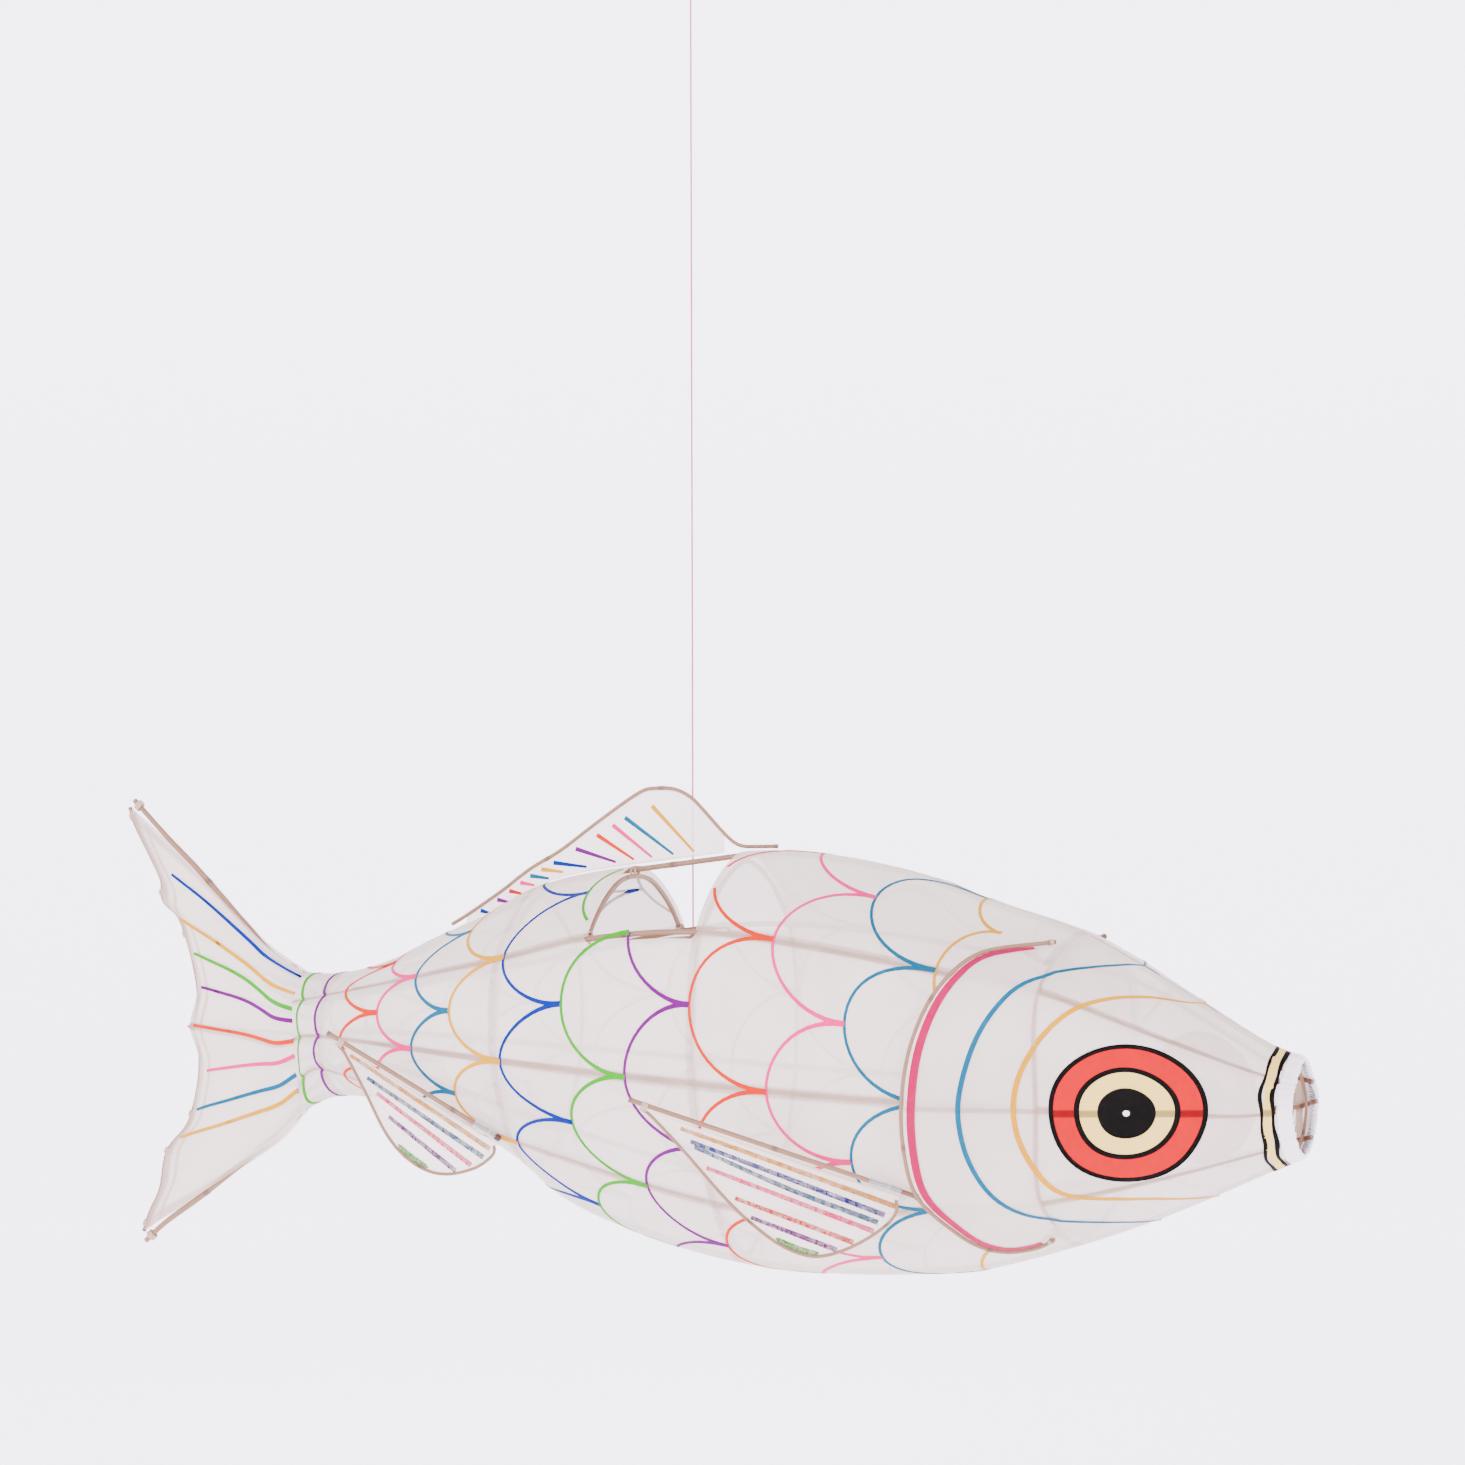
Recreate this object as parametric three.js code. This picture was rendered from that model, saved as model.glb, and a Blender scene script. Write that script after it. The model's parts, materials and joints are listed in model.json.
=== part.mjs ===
// A hanging carp: a bamboo skeleton of eight long splints over bent hoops, covered with thin silk,
// hung on one string. Millimetres, +X to the head, +Z up, the fish's right side is -Y.
// The origin is the point that the top ring hangs from, straight above the hanging bar.
import * as THREE from "three";

// Driving dimensions
const DATUM = -880; // height of the body's long axis below the origin
const SILK = 0.3; // thickness of the silk and its glue
const TAIL_SILK = 1.17; // the tail's silk with the thread and glue that stiffen it
const GAP = 0.3; // clearance between touching pieces
const SPLINT_TAIL_R = 2.7; // long splints, shaved thinner towards the mouth
const SPLINT_MOUTH_R = 1.7;
const TAIL_ROD_R = 2.9; // two thin rods bound side by side
const ROD_R = 1.6; // thin rim rods
const HOOP_WIDTH = 4; // bent hoops, along the fish
const HOOP_DEPTH = 3; // bent hoops, across the bend
const CORD_R = 0.65;
const CORD_SIDE = 5; // the cord hangs this far beside the middle plane, clear of the fin on the back

// Where the hoops stand along the fish
const MOUTH_X = 504;
const HEAD_X = 335;
const TRUNK_X = 49; // front edge of the hatch
const HATCH_X = -49; // rear edge of the hatch
const REAR_X = -134;
const PEDUNCLE_X = -313;
const TAIL_X = -350; // the tube ends here and the flat tail begins
const SNOUT_X = 500; // the silk of the head ends here, at the lip
const SPLINT_FRONT_X = 509;

// Lines of the body, heights from the datum: [distance along the fish, value]
const TOP_Z = [[-350, 56], [-313, 57], [-271, 68], [-220, 91], [-170, 113], [-134, 131], [-90, 142],
  [-49, 148], [9, 155.5], [60, 161.5], [110, 160], [160, 153], [215, 140], [253, 126], [335, 101],
  [380, 78], [429, 50], [461, 31], [485, 18], [512, 6]];
const BOTTOM_Z = [[-350, -53], [-313, -44], [-250, -51], [-190, -66], [-156, -84], [-134, -105],
  [-105, -125], [-60, -142], [9, -161], [70, -170], [150, -172], [215, -168], [257, -163],
  [334, -141], [388, -122], [429, -105], [469, -87], [512, -67]];
const UPPER_Y = [[-350, 24], [-313, 35], [-134, 78], [-49, 93], [49, 94], [150, 106], [257, 111],
  [335, 110], [420, 72], [485, 35], [512, 21]];
const UPPER_Z = [[-350, 33], [-313, 40], [-134, 75], [-49, 94], [49, 101], [166, 89], [257, 74],
  [335, 62], [420, 26], [485, -2], [512, -11]];
const MIDDLE_Y = [[-350, 29], [-313, 46], [-134, 85], [-49, 99], [49, 107], [150, 120], [257, 121],
  [335, 114], [420, 80], [485, 43], [512, 30]];
const MIDDLE_Z = [[-350, 5], [-313, 7], [-134, -6], [49, -18], [200, -25], [335, -29], [485, -34],
  [512, -31]];
const LOWER_Y = [[-350, 24], [-313, 40], [-134, 53], [49, 64], [150, 80], [257, 98], [335, 103],
  [420, 70], [485, 36], [512, 21]];
const LOWER_Z = [[-350, -28], [-313, -20], [-134, -72], [49, -115], [150, -119], [257, -108],
  [335, -101], [420, -82], [485, -63], [512, -55]];

// A smooth line through a few points, as a function of the distance along the fish
function line(points) {
  const slope = points.map((p, i) => {
    const a = points[Math.max(i - 1, 0)];
    const b = points[Math.min(i + 1, points.length - 1)];
    return (b[1] - a[1]) / (b[0] - a[0]);
  });
  return (x) => {
    let i = 0;
    while (i < points.length - 2 && x > points[i + 1][0]) i += 1;
    const [x0, y0] = points[i];
    const [x1, y1] = points[i + 1];
    const h = x1 - x0;
    const t = (x - x0) / h;
    const t2 = t * t;
    const t3 = t2 * t;
    return (2 * t3 - 3 * t2 + 1) * y0 + (t3 - 2 * t2 + t) * h * slope[i]
      + (3 * t2 - 2 * t3) * y1 + (t3 - t2) * h * slope[i + 1];
  };
}

// The eight splints in order round the body, each as [sideways, height] at a distance along the fish
const [topZ, bottomZ, upperY, upperZ, middleY, middleZ, lowerY, lowerZ] = [
  TOP_Z, BOTTOM_Z, UPPER_Y, UPPER_Z, MIDDLE_Y, MIDDLE_Z, LOWER_Y, LOWER_Z].map(line);
const splintAt = [
  (x) => [0, topZ(x)],
  (x) => [-upperY(x), upperZ(x)],
  (x) => [-middleY(x), middleZ(x)],
  (x) => [-lowerY(x), lowerZ(x)],
  (x) => [0, bottomZ(x)],
  (x) => [lowerY(x), lowerZ(x)],
  (x) => [middleY(x), middleZ(x)],
  (x) => [upperY(x), upperZ(x)],
];
const SPLINT_NAMES = ["top_splint", "right_upper_splint", "right_middle_splint",
  "right_lower_splint", "bottom_splint", "left_lower_splint", "left_middle_splint",
  "left_upper_splint"];
const BAYS = splintAt.length;

// The outside of the silk at a distance x along the fish and s bays round it from the top splint
function onBody(x, s) {
  const i = Math.floor(s);
  const t = s - i;
  const [a, b, c, d] = [-1, 0, 1, 2].map((k) => splintAt[(((i + k) % BAYS) + BAYS) % BAYS](x));
  const [y, z] = [0, 1].map((k) => 0.5 * (2 * b[k] + (c[k] - a[k]) * t
    + (2 * a[k] - 5 * b[k] + 4 * c[k] - d[k]) * t * t
    + (3 * b[k] - a[k] - 3 * c[k] + d[k]) * t * t * t));
  return new THREE.Vector3(x, y, z);
}

// The same point moved inwards, square to the silk
function insideBody(x, s, inset) {
  const round = onBody(x, s + 0.01).sub(onBody(x, s - 0.01));
  const along = onBody(x + 1, s).sub(onBody(x - 1, s));
  const inward = along.cross(round).normalize();
  return onBody(x, s).addScaledVector(inward, inset);
}

// The same point moved inwards within the plane of a hoop
function insideHoop(x, s, inset) {
  const round = onBody(x, s + 0.01).sub(onBody(x, s - 0.01));
  const inward = new THREE.Vector3(0, -round.z, round.y).normalize();
  return onBody(x, s).addScaledVector(inward, inset);
}

// Radius of a long splint at a distance along the fish
function splintR(x) {
  const share = (x - TAIL_X) / (SPLINT_FRONT_X - TAIL_X);
  return SPLINT_TAIL_R + (SPLINT_MOUTH_R - SPLINT_TAIL_R) * share;
}

// Materials
const COLOURS = {
  bamboo: [0xc9ad8c, 0.6, 0],
  bare_bamboo: [0xb4713c, 0.55, 0],
  silk: [0xefe9e4, 0.85, 0],
  clear_sleeve: [0xe8ecec, 0.2, 0],
  string: [0xe879b8, 0.7, 0],
  metal: [0xc8c8c8, 0.3, 1],
};

const carp = new THREE.Group();

function add(name, geometry, finish, parent = carp) {
  const [color, roughness, metalness] = COLOURS[finish];
  const mesh = new THREE.Mesh(
    geometry,
    new THREE.MeshStandardMaterial({ color, roughness, metalness }),
  );
  mesh.name = name;
  parent.add(mesh);
  return mesh;
}

// A closed thin sheet over a surface; at(u, v, depth) gives its points, depth 0 outside
function sheet(at, us, vs, thickness, joined = false) {
  const across = joined ? vs.length - 1 : vs.length;
  const position = [];
  [0, thickness].forEach((depth) => us.forEach((u) => {
    vs.slice(0, across).forEach((v) => position.push(...at(u, v, depth).toArray()));
  }));
  const inner = us.length * across;
  const id = (i, j, side) => side * inner + i * across + (j % across);
  const index = [];
  const quad = (a, b, c, d) => index.push(a, b, c, a, c, d);
  for (let i = 0; i < us.length - 1; i += 1) {
    for (let j = 0; j < vs.length - 1; j += 1) {
      quad(id(i, j, 0), id(i, j + 1, 0), id(i + 1, j + 1, 0), id(i + 1, j, 0));
      quad(id(i, j, 1), id(i + 1, j, 1), id(i + 1, j + 1, 1), id(i, j + 1, 1));
    }
  }
  const last = us.length - 1;
  for (let j = 0; j < vs.length - 1; j += 1) {
    quad(id(0, j, 0), id(0, j, 1), id(0, j + 1, 1), id(0, j + 1, 0));
    quad(id(last, j, 0), id(last, j + 1, 0), id(last, j + 1, 1), id(last, j, 1));
  }
  if (!joined) {
    const end = vs.length - 1;
    for (let i = 0; i < last; i += 1) {
      quad(id(i, 0, 0), id(i + 1, 0, 0), id(i + 1, 0, 1), id(i, 0, 1));
      quad(id(i, end, 0), id(i, end, 1), id(i + 1, end, 1), id(i + 1, end, 0));
    }
  }
  const geometry = new THREE.BufferGeometry();
  geometry.setAttribute("position", new THREE.Float32BufferAttribute(position, 3));
  geometry.setIndex(index);
  return geometry;
}

// The same sheet turned inside out, for a surface whose two directions run the other way round
function flipped(geometry) {
  const index = geometry.getIndex();
  for (let i = 0; i < index.count; i += 3) {
    const held = index.getX(i + 1);
    index.setX(i + 1, index.getX(i + 2));
    index.setX(i + 2, held);
  }
  return geometry;
}

// A round rod along a curve
function rod(curve, radius, steps, sides = 6) {
  const corners = Array.from({ length: sides }, (_, i) => {
    const angle = (2 * Math.PI * i) / sides;
    return new THREE.Vector2(radius * Math.cos(angle), radius * Math.sin(angle));
  });
  return new THREE.ExtrudeGeometry(new THREE.Shape(corners), {
    steps, extrudePath: curve, bevelEnabled: false,
  });
}

// A round rod that gets thinner along its path, closed at both ends
function taperedRod(path, radiusAt, steps, sides = 6) {
  const frames = path.computeFrenetFrames(steps, false);
  const position = [];
  for (let i = 0; i <= steps; i += 1) {
    const p = path.getPointAt(i / steps);
    for (let k = 0; k < sides; k += 1) {
      const angle = (2 * Math.PI * k) / sides;
      position.push(...p.clone()
        .addScaledVector(frames.normals[i], radiusAt(p.x) * Math.cos(angle))
        .addScaledVector(frames.binormals[i], radiusAt(p.x) * Math.sin(angle)).toArray());
    }
  }
  const startCentre = position.length / 3;
  position.push(...path.getPointAt(0).toArray(), ...path.getPointAt(1).toArray());
  const index = [];
  const id = (i, k) => i * sides + (k % sides);
  for (let k = 0; k < sides; k += 1) {
    for (let i = 0; i < steps; i += 1) {
      index.push(id(i, k), id(i, k + 1), id(i + 1, k + 1), id(i, k), id(i + 1, k + 1), id(i + 1, k));
    }
    index.push(startCentre, id(0, k + 1), id(0, k));
    index.push(startCentre + 1, id(steps, k), id(steps, k + 1));
  }
  const geometry = new THREE.BufferGeometry();
  geometry.setAttribute("position", new THREE.Float32BufferAttribute(position, 3));
  geometry.setIndex(index);
  return geometry;
}

const through = (points) => new THREE.CatmullRomCurve3(points, false, "centripetal");
const along = (low, high, count) => Array.from(
  { length: count + 1 },
  (_, i) => low + ((high - low) * i) / count,
);

// Distances along the fish at which the silk and the splints both have a point
const STEP = 28.8;
function stations(low, high) {
  const inner = [];
  for (let x = TAIL_X; x < high - 2; x += STEP) if (x > low + 2) inner.push(x);
  return [low, ...inner, high];
}

const body = new THREE.Group();
body.position.z = DATUM;
carp.add(body);

// Long splints, under the silk, from the tail to just inside the lip
class SplintLine extends THREE.Curve {
  constructor(s) {
    super();
    this.s = s;
    this.xs = stations(TAIL_X + 2, SPLINT_FRONT_X);
  }

  getPoint(t, target = new THREE.Vector3()) {
    const place = t * (this.xs.length - 1);
    const i = Math.min(Math.floor(place), this.xs.length - 2);
    const x = this.xs[i] + (this.xs[i + 1] - this.xs[i]) * (place - i);
    return target.copy(insideBody(x, this.s, SILK + 2 * GAP + splintR(x)));
  }

  getPointAt(u, target) {
    return this.getPoint(u, target);
  }

  getTangentAt(u, target) {
    return this.getTangent(u, target);
  }
}
SPLINT_NAMES.forEach((name, s) => {
  const path = new SplintLine(s);
  add(name, taperedRod(path, splintR, path.xs.length - 1), "bamboo", body);
});

// Hoops and the hatch arch, bent strips inside the splints
const HOOP_LIFT = 1.4; // thread between a splint and a hoop
const underSplint = (x) => SILK + 3 * GAP + 2 * splintR(x) + HOOP_LIFT;
const HOOP_STEPS = 6; // points in each bay
const near = (s, middle, reach) => { // 1 at the middle, falling smoothly to 0 at the reach, in bays
  const t = Math.min(Math.abs(s - middle) / reach, 1);
  return (1 + Math.cos(Math.PI * t)) / 2;
};
function hoop(x, from, to, extra = () => 0, width = HOOP_WIDTH, depth = HOOP_DEPTH) {
  const inset = (s) => underSplint(x) + extra(s);
  const ring = (s, d) => {
    const p = insideHoop(x, s, d);
    return new THREE.Vector2(p.y, p.z);
  };
  const count = Math.round((to - from) * HOOP_STEPS);
  const outer = along(from, to, count).map((s) => ring(s, inset(s)));
  const inner = along(from, to, count).map((s) => ring(s, inset(s) + depth));
  let shape;
  if (to - from === BAYS) {
    shape = new THREE.Shape(outer.slice(0, count));
    shape.holes.push(new THREE.Path(inner.slice(0, count)));
  } else {
    shape = new THREE.Shape([...outer, ...inner.reverse()]);
  }
  const geometry = new THREE.ExtrudeGeometry(shape, { depth: width, bevelEnabled: false });
  const turn = new THREE.Matrix4().makeBasis(
    new THREE.Vector3(0, 1, 0),
    new THREE.Vector3(0, 0, 1),
    new THREE.Vector3(1, 0, 0),
  );
  return geometry.applyMatrix4(turn).translate(x - width / 2, 0, 0);
}
const STEEP_BACK = 0.6; // extra room where the body narrows steeply through the rear hoop
const STEEP_BELLY = 3; // and more of it under the belly
const steepRoom = (s) => STEEP_BACK + STEEP_BELLY * near(s, BAYS / 2, 1.5);
add("head_hoop", hoop(HEAD_X, 0, BAYS), "bamboo", body);
add("trunk_hoop", hoop(TRUNK_X, 0, BAYS), "bamboo", body);
add("rear_hoop", hoop(REAR_X, 0, BAYS, steepRoom), "bamboo", body);
add("peduncle_hoop", hoop(PEDUNCLE_X, 0, BAYS, () => 0, 3, 2), "bamboo", body);
add("mouth_hoop", hoop(MOUTH_X, 0, BAYS, () => 1.4, 3, 2.2), "bamboo", body);
const ARCH_FOOT = 0.93; // bays from the top splint, just short of the upper splints
const ARCH_DIP = 0.4; // bays over which the arch dips under the top splint
const ARCH_INSET = 3.9; // the arch lies just under the silk between the splints
const archRise = (s) => (ARCH_INSET - underSplint(HATCH_X)) * (1 - near(s, 0, ARCH_DIP));
add("hatch_arch", hoop(HATCH_X, -ARCH_FOOT, ARCH_FOOT, archRise), "bamboo", body);

// Silk of the body
const SEAM = 0.012; // open seam between two panels, in bays
const SILK_STEPS = 2; // folds of the plain panel in each bay
const EDGE = 0.3; // and across the fish
const onSilk = (x, s, depth) => insideBody(x, s, depth);
function panel(name, low, high, from, to) {
  const count = (to - from) * SILK_STEPS;
  const vs = along(from, to, count);
  vs[0] += SEAM;
  vs[count] -= SEAM;
  add(name, sheet(onSilk, stations(low + EDGE, high - EDGE), vs, SILK), "silk", body);
}
panel("front_back_skin", TRUNK_X - HOOP_WIDTH / 2, HEAD_X, -1, 1);
panel("rear_back_skin", TAIL_X, HATCH_X + HOOP_WIDTH / 2, -1, 1);
panel("right_side_skin", TAIL_X, HEAD_X, 1, 4);
panel("left_side_skin", TAIL_X, HEAD_X, 4, 7);
add(
  "head_skin",
  sheet(onSilk, stations(HEAD_X + EDGE, SNOUT_X), along(0, BAYS, BAYS * SILK_STEPS), SILK, true),
  "silk",
  body,
);

// Lip: silk rolled over the mouth hoop, a soft ring round the opening
const LIP_OUT = 1.2; // how far the roll stands proud of the body's line
const LIP_DEPTH = 1.1;
const lipRoll = (x, s, depth) => {
  const ends = Math.min(x - SNOUT_X - EDGE, SNOUT_X + 13 - x) < 1 ? 0.8 : 0;
  return insideHoop(x, s, (depth === 0 ? ends : LIP_DEPTH) - LIP_OUT);
};
add(
  "mouth_lip",
  sheet(lipRoll, [SNOUT_X + EDGE, SNOUT_X + 2, SNOUT_X + 11, SNOUT_X + 13],
    along(0, BAYS, BAYS * SILK_STEPS), 1, true),
  "silk",
  body,
);

// Gill covers: a bowed rod standing proud of the trunk, a strut from the head hoop to it, and silk
const GILL_BOW = [[330, 93], [289, 84], [270, 68], [254, 44], [241, 10], [235, -28], [236, -62],
  [242, -93], [260, -116], [275, -132], [293, -138], [317, -135], [330, -129]];
const GILL_PROUD = 11; // most that the bow stands off the silk of the trunk
const GILL_SEAT = 2.6; // and at its two ends
function sideAt(x, z) { // bays from the top splint to the given height on the right side
  let low = 0;
  let high = 4;
  for (let i = 0; i < 40; i += 1) {
    const middle = (low + high) / 2;
    if (onBody(x, middle).z > z) low = middle;
    else high = middle;
  }
  return low;
}
const bowLine = through(GILL_BOW.map(([x, z]) => new THREE.Vector3(x, 0, z)));
const gillProud = (v) => GILL_SEAT + (GILL_PROUD - GILL_SEAT) * Math.sin(Math.PI * v);
const gillBow = along(0, 1, 30).map((v) => {
  const p = bowLine.getPointAt(v);
  return insideBody(p.x, sideAt(p.x, p.z), -gillProud(v));
});
const GILL_FRONT = HEAD_X - 2; // front edge of the flap of silk, on the head hoop's line
const GILL_LIFT = 1.6; // height of that edge over the silk of the trunk
const GILL_NARROW = 0.88; // height of that edge, as a share of the bow's
function gillFlap(u, v, depth) { // u from the head hoop back to the bow, v down the bow
  const run = bowLine.getTangentAt(v);
  const back = bowLine.getPointAt(v)
    .addScaledVector(new THREE.Vector3(-run.z, 0, run.x), ROD_R + 5 * GAP);
  const x = GILL_FRONT + u * (back.x - GILL_FRONT);
  const z = back.z * (GILL_NARROW + u * (1 - GILL_NARROW));
  const proud = GILL_LIFT + u * (gillProud(v) - GILL_LIFT);
  return insideBody(x, sideAt(x, z), depth - proud);
}
const mirrorY = (p) => new THREE.Vector3(p.x, -p.y, p.z);
[["right", 1], ["left", -1]].forEach(([side, hand]) => {
  const there = (p) => (hand > 0 ? p : mirrorY(p));
  const turned = (geometry) => (hand > 0 ? flipped(geometry) : geometry);
  const bow = through(gillBow.map((p) => there(p.clone())));
  add(`${side}_gill_bow`, rod(bow, ROD_R, 30), "bamboo", body);
  const strutBack = insideBody(242, sideAt(242, -27), -GILL_PROUD + 3.6);
  const strutFront = insideBody(300, sideAt(300, -27), -ROD_R - GAP - 0.4);
  add(
    `${side}_gill_strut`,
    rod(new THREE.LineCurve3(there(strutFront), there(strutBack)), 1.2, 1),
    "bamboo",
    body,
  );
  add(
    `${side}_gill_cover`,
    turned(sheet((u, v, d) => there(gillFlap(u, v, d)), along(0, 1, 4), along(0.08, 0.94, 14), SILK)),
    "silk",
    body,
  );
});

// Tail: leading rods that carry on from the top and bottom splints, rim rods behind, and a middle rod
const at = (x, z, y = 0) => new THREE.Vector3(x, y, z);
const UPPER_LEAD = [at(-353, 54), at(-369, 62), at(-388, 76), at(-405, 93), at(-450, 138),
  at(-482, 167), at(-514, 198)];
const LOWER_LEAD = [at(-353, -54), at(-374, -76), at(-412, -105), at(-450, -133), at(-484, -156),
  at(-503, -172)];
const UPPER_RIM = [at(-518.5, 192), at(-513, 177), at(-499, 152), at(-488, 131), at(-486, 114),
  at(-471, 100), at(-460, 72), at(-453, 40), at(-454, 14)];
const LOWER_RIM = [at(-505, -164), at(-499, -148), at(-489, -128), at(-482, -96), at(-462, -72),
  at(-453, -42), at(-451, -18), at(-454, 4)];
const NOTCH_Z = 9;
add("tail_upper_rod", rod(through(UPPER_LEAD), TAIL_ROD_R, 12), "bamboo", body);
add("tail_lower_rod", rod(through(LOWER_LEAD), TAIL_ROD_R, 12), "bamboo", body);
add("tail_upper_rim", rod(through(UPPER_RIM), ROD_R, 14), "bamboo", body);
add("tail_lower_rim", rod(through(LOWER_RIM), ROD_R, 14), "bamboo", body);
add(
  "tail_middle_rod",
  rod(new THREE.LineCurve3(at(-352.5, NOTCH_Z - 4), at(-462, NOTCH_Z)), ROD_R, 4),
  "bamboo",
  body,
);

// Tail silk: a four-sided patch from the end of the tube to the rear edge, pinched flat
const TAIL_FLAT = TAIL_ROD_R + GAP; // inside of the silk from the middle plane where the tail is flat
const TAIL_PINCH = 60; // length over which the tube flattens
const upperEdge = through([at(-350, 50), ...UPPER_LEAD.slice(1, -1), at(-514, 196)]);
const lowerEdge = through([at(-350, -48), ...LOWER_LEAD.slice(1, -1), at(-501, -169)]);
const rearEdge = through([...LOWER_RIM.slice(0, -1), at(-460, NOTCH_Z), ...UPPER_RIM.slice(0, -1).reverse()]);
function tailSilk(u, v, depth) { // u from the tube to the rear edge, v from bottom to top
  const s = 4 - 4 * v;
  const root = onBody(TAIL_X, s);
  const corner = (p, q) => p.clone().multiplyScalar(1 - v).addScaledVector(q, v);
  const p = corner(lowerEdge.getPointAt(u), upperEdge.getPointAt(u));
  p.addScaledVector(new THREE.Vector3(TAIL_X, 0, root.z), 1 - u);
  p.addScaledVector(rearEdge.getPointAt(v), u);
  p.addScaledVector(corner(lowerEdge.getPointAt(0), upperEdge.getPointAt(0)), u - 1);
  p.addScaledVector(corner(lowerEdge.getPointAt(1), upperEdge.getPointAt(1)), -u);
  const pinch = THREE.MathUtils.smoothstep(TAIL_X - p.x, 0, TAIL_PINCH);
  const flat = -TAIL_FLAT - TAIL_SILK;
  p.y = Math.min(flat, flat + (root.y + 1 - flat) * (1 - pinch)) + depth;
  p.x -= EDGE;
  return p;
}
[["right", 1], ["left", -1]].forEach(([side, hand]) => {
  const surface = (u, v, d) => (hand > 0 ? tailSilk(u, v, d) : mirrorY(tailSilk(u, v, d)));
  const geometry = sheet(surface, along(0, 1, 8), along(0.02, 0.98, 16), TAIL_SILK);
  add(`${side}_tail_skin`, hand > 0 ? geometry : flipped(geometry), "silk", body);
});

// Fin on the back: a bent rim standing on the top splint, and one sheet of silk in the middle plane
const DORSAL_RIM = [[76, 166.4], [58, 166], [44, 166.6], [33, 173], [9, 197], [0, 205], [-13, 211],
  [-29, 212], [-44, 209], [-80, 186], [-116, 161], [-143, 146], [-170, 127], [-200, 108], [-214, 100]];
const dorsalCurve = through(DORSAL_RIM.map(([x, z]) => at(x, z - ROD_R)));
add("dorsal_rim", rod(dorsalCurve, ROD_R, 26), "bamboo", body);
const MEMBRANE_LIFT = 0.9;
const dorsalEdge = dorsalCurve.getSpacedPoints(26)
  .map((p) => new THREE.Vector2(p.x, p.z))
  .map((p, i, all) => {
    const a = all[Math.max(i - 1, 0)];
    const b = all[Math.min(i + 1, all.length - 1)];
    const run = b.clone().sub(a).normalize();
    return new THREE.Vector2(p.x - run.y * (ROD_R + GAP), p.y + run.x * (ROD_R + GAP));
  })
  .map((p) => ({ x: p.x, z: p.y }));
const membraneTop = dorsalEdge.filter((p) => p.z > topZ(p.x) + MEMBRANE_LIFT + 1.2 && p.x < 40);
const membraneBottom = along(membraneTop[membraneTop.length - 1].x, membraneTop[0].x, 16)
  .map((x) => ({ x, z: topZ(x) + MEMBRANE_LIFT }));
function flatSilk(outline) { // a flat sheet in the plane of the first and third axes
  const shape = new THREE.Shape(outline.map((p) => new THREE.Vector2(p.x, p.z)));
  return new THREE.ExtrudeGeometry(shape, { depth: SILK, bevelEnabled: false })
    .rotateX(Math.PI / 2).translate(0, SILK / 2, 0);
}
add("dorsal_membrane", flatSilk([...membraneTop, ...membraneBottom]), "silk", body);

// Side fins: a spar whose front end turns in a clear sleeve on a stub, a thin bowed rim, and silk.
// Outline points are [distance from the rear tip along the spar, depth below the spar].
const FINS = {
  pectoral_fin: {
    rear: at(35, -28, -175), front: at(234, -97, -108), spar: 202, sleeve: [187, 213], stub: 230,
    rim: [[6, 4.2], [12, 6], [42, 22], [83, 46], [107, 58], [138, 68.5], [163, 69], [181, 60],
      [199, 43], [211, 26], [214, 15], [211, 7.4]],
  },
  pelvic_fin: {
    rear: at(-262, 11, -112), front: at(-134, -74, -58.5), spar: 144, sleeve: [131, 151], stub: 156,
    rim: [[6, 4.2], [14, 7], [46, 26], [75, 44], [98, 52], [120, 52], [136, 45], [150, 31],
      [156, 19], [157, 11], [154, 7.4]],
  },
};
const SPAR_R = 1.9;
const RIM_R = 1.3;
const SLEEVE_R = 3.1;
function tube(inner, outer, low, high) {
  const profile = [[inner, low], [outer, low], [outer, high], [inner, high], [inner, low]];
  return new THREE.LatheGeometry(profile.map(([r, h]) => new THREE.Vector2(r, h)), 12)
    .rotateZ(-Math.PI / 2);
}
function bar(radius, low, high, sides = 8) {
  return new THREE.CylinderGeometry(radius, radius, high - low, sides)
    .rotateZ(-Math.PI / 2).translate((low + high) / 2, 0, 0);
}
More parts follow.
